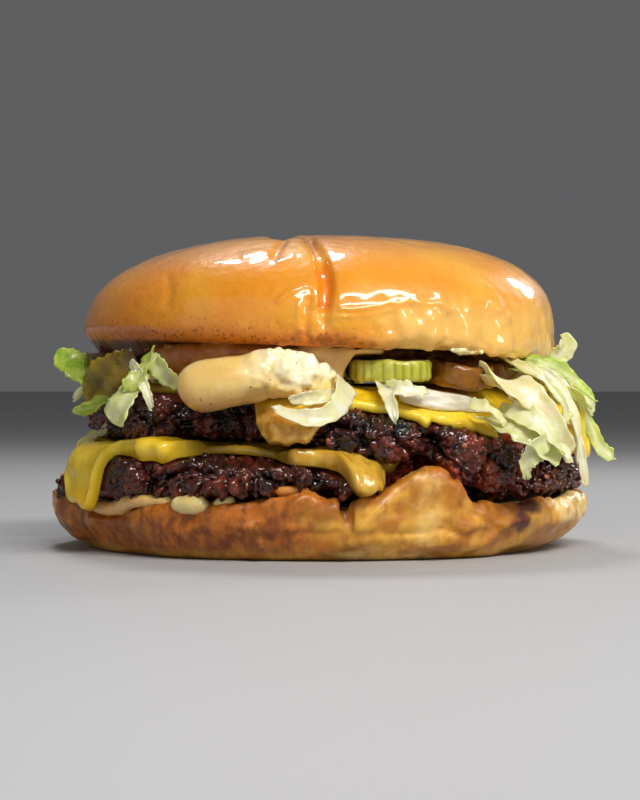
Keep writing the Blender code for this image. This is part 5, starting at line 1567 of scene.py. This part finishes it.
def make_studio():
    world = bpy.data.worlds.new("studio")
    world.use_nodes = True
    back = world.node_tree.nodes["Background"]
    back.inputs["Color"].default_value = (0.80, 0.81, 0.83, 1.0)
    back.inputs["Strength"].default_value = 0.14
    bpy.context.scene.world = world
    floor_finish = bpy.data.materials.new("pale_floor")
    floor_finish.use_nodes = True
    shader = floor_finish.node_tree.nodes["Principled BSDF"]
    shader.inputs["Base Color"].default_value = (0.42, 0.42, 0.43, 1.0)
    shader.inputs["Roughness"].default_value = 0.6
    mesh = bpy.data.meshes.new("floor")
    corners = [(x * FLOOR_REACH, y * FLOOR_REACH, 0) for x, y in ((-1, -1), (1, -1), (1, 1), (-1, 1))]
    mesh.from_pydata(corners, [], [(0, 1, 2, 3)])
    mesh.materials.append(floor_finish)
    floor = bpy.data.objects.new("floor", mesh)
    bpy.context.scene.collection.objects.link(floor)
    for name, heading, rise, distance, width, tall, power, colour in LAMPS:
        light = bpy.data.lights.new(name, "AREA")
        light.shape = "RECTANGLE"
        light.size, light.size_y = width, tall
        light.energy = power
        light.color = colour
        lamp = bpy.data.objects.new(name, light)
        spin, tilt = math.radians(heading), math.radians(rise)
        toward = Vector((math.cos(tilt) * math.cos(spin), math.cos(tilt) * math.sin(spin), math.sin(tilt)))
        lamp.location = LIT + toward * distance
        lamp.rotation_euler = (LIT - lamp.location).to_track_quat("-Z", "Y").to_euler()
        bpy.context.scene.collection.objects.link(lamp)
    lens = bpy.data.cameras.new("camera")
    lens.sensor_width = SENSOR
    lens.lens = SENSOR * VIEW_DISTANCE / (VIEW_ROWS * VIEW_PIXEL)
    lens.clip_start, lens.clip_end = 0.01, 20.0
    camera = bpy.data.objects.new("camera", lens)
    back_off = Vector((0, -math.cos(VIEW_ELEVATION), math.sin(VIEW_ELEVATION))) * VIEW_DISTANCE
    camera.location = Vector((0, 0, VIEW_HEIGHT)) + back_off
    camera.rotation_euler = (-back_off).to_track_quat("-Z", "Y").to_euler()
    bpy.context.scene.collection.objects.link(camera)
    bpy.context.scene.camera = camera
    bpy.context.scene.view_settings.view_transform = "Standard"


def main():
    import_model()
    make_studio()

    bread, crust = soft_bread(), glazed_crust()
    beef, cheese, dressing = seared_beef(), melted_cheese(), burger_sauce()
    green_pickle = pickle_skin()
    # pickle_left gets a darker copy of the amber pickle finish: painted shade where it sits under the crown's
    # rim
    aged = {"pickle_left": pickle_brown("dark_pickle", (0.085, 0.052, 0.008))}
    amber_pickle = pickle_brown("amber_pickle", (0.27, 0.105, 0.011))

    make_heel(bread)
    make_base_sauce(dressing)
    lower = make_patty("lower_beef", LOWER, lower_reach, 71, beef, "lower_patty", LOWER_NOTCHES, LOWER_CLUMPS)
    make_slice("lower_slice", LOWER, lower_reach, 131, cheese, "lower_cheese",
               lower_greasy, lower_shade, LOWER_DRIPS)
    upper = make_patty("upper_beef", UPPER, upper_reach, 81, beef, "upper_patty", UPPER_NOTCHES)
    make_slice("upper_slice", UPPER, upper_reach, 141, cheese, "upper_cheese",
               upper_greasy, np.zeros_like, UPPER_DRIPS)
    make_lettuce(crisp_lettuce())
    for k, (node, numbers) in enumerate(PICKLES.items()):
        fresh = node in ("pickle_front", "pickle_back")
        skin = green_pickle if fresh else aged.get(node, amber_pickle)
        make_pickle(node, numbers, 700 + 11 * k, skin, 1.0 if fresh else 0.25)
    make_onion(raw_onion())
    sauce = make_sauce(dressing)
    make_crown(crust)

    tree = scatter_tree()
    for k, patty in enumerate((lower, upper)):
        scattered(patty.name + "_crumbs", tree, patty, "beef", beef, **{
            "Bits for each square metre": 120000.0, "Seed": 3 + k, "Smallest": 0.0003, "Largest": 0.0009,
            "Flatness": 0.8, "Roughness": 0.9})
        fat = plain("rendered_fat", (0.46, 0.13, 0.055), 0.3, 1.0, (0.16, 0.03, 0.012))
        scattered(patty.name + "_fat", tree, patty, "beef", fat, **{
            "Bits for each square metre": 8000.0, "Seed": 13 + k, "Smallest": 0.0002, "Largest": 0.0008,
            "Flatness": 0.45, "Roughness": 1.3})
    for label, colour, seed in (("pepper", (0.05, 0.03, 0.015), 21), ("paprika", (0.62, 0.10, 0.01), 22)):
        scattered("sauce_" + label, tree, sauce, "dressing", plain(label, colour, 0.4), **{
            "Bits for each square metre": 30000.0, "Seed": seed, "Smallest": 0.00007, "Largest": 0.00019,
            "Flatness": 0.5, "Roughness": 0.4})


main()
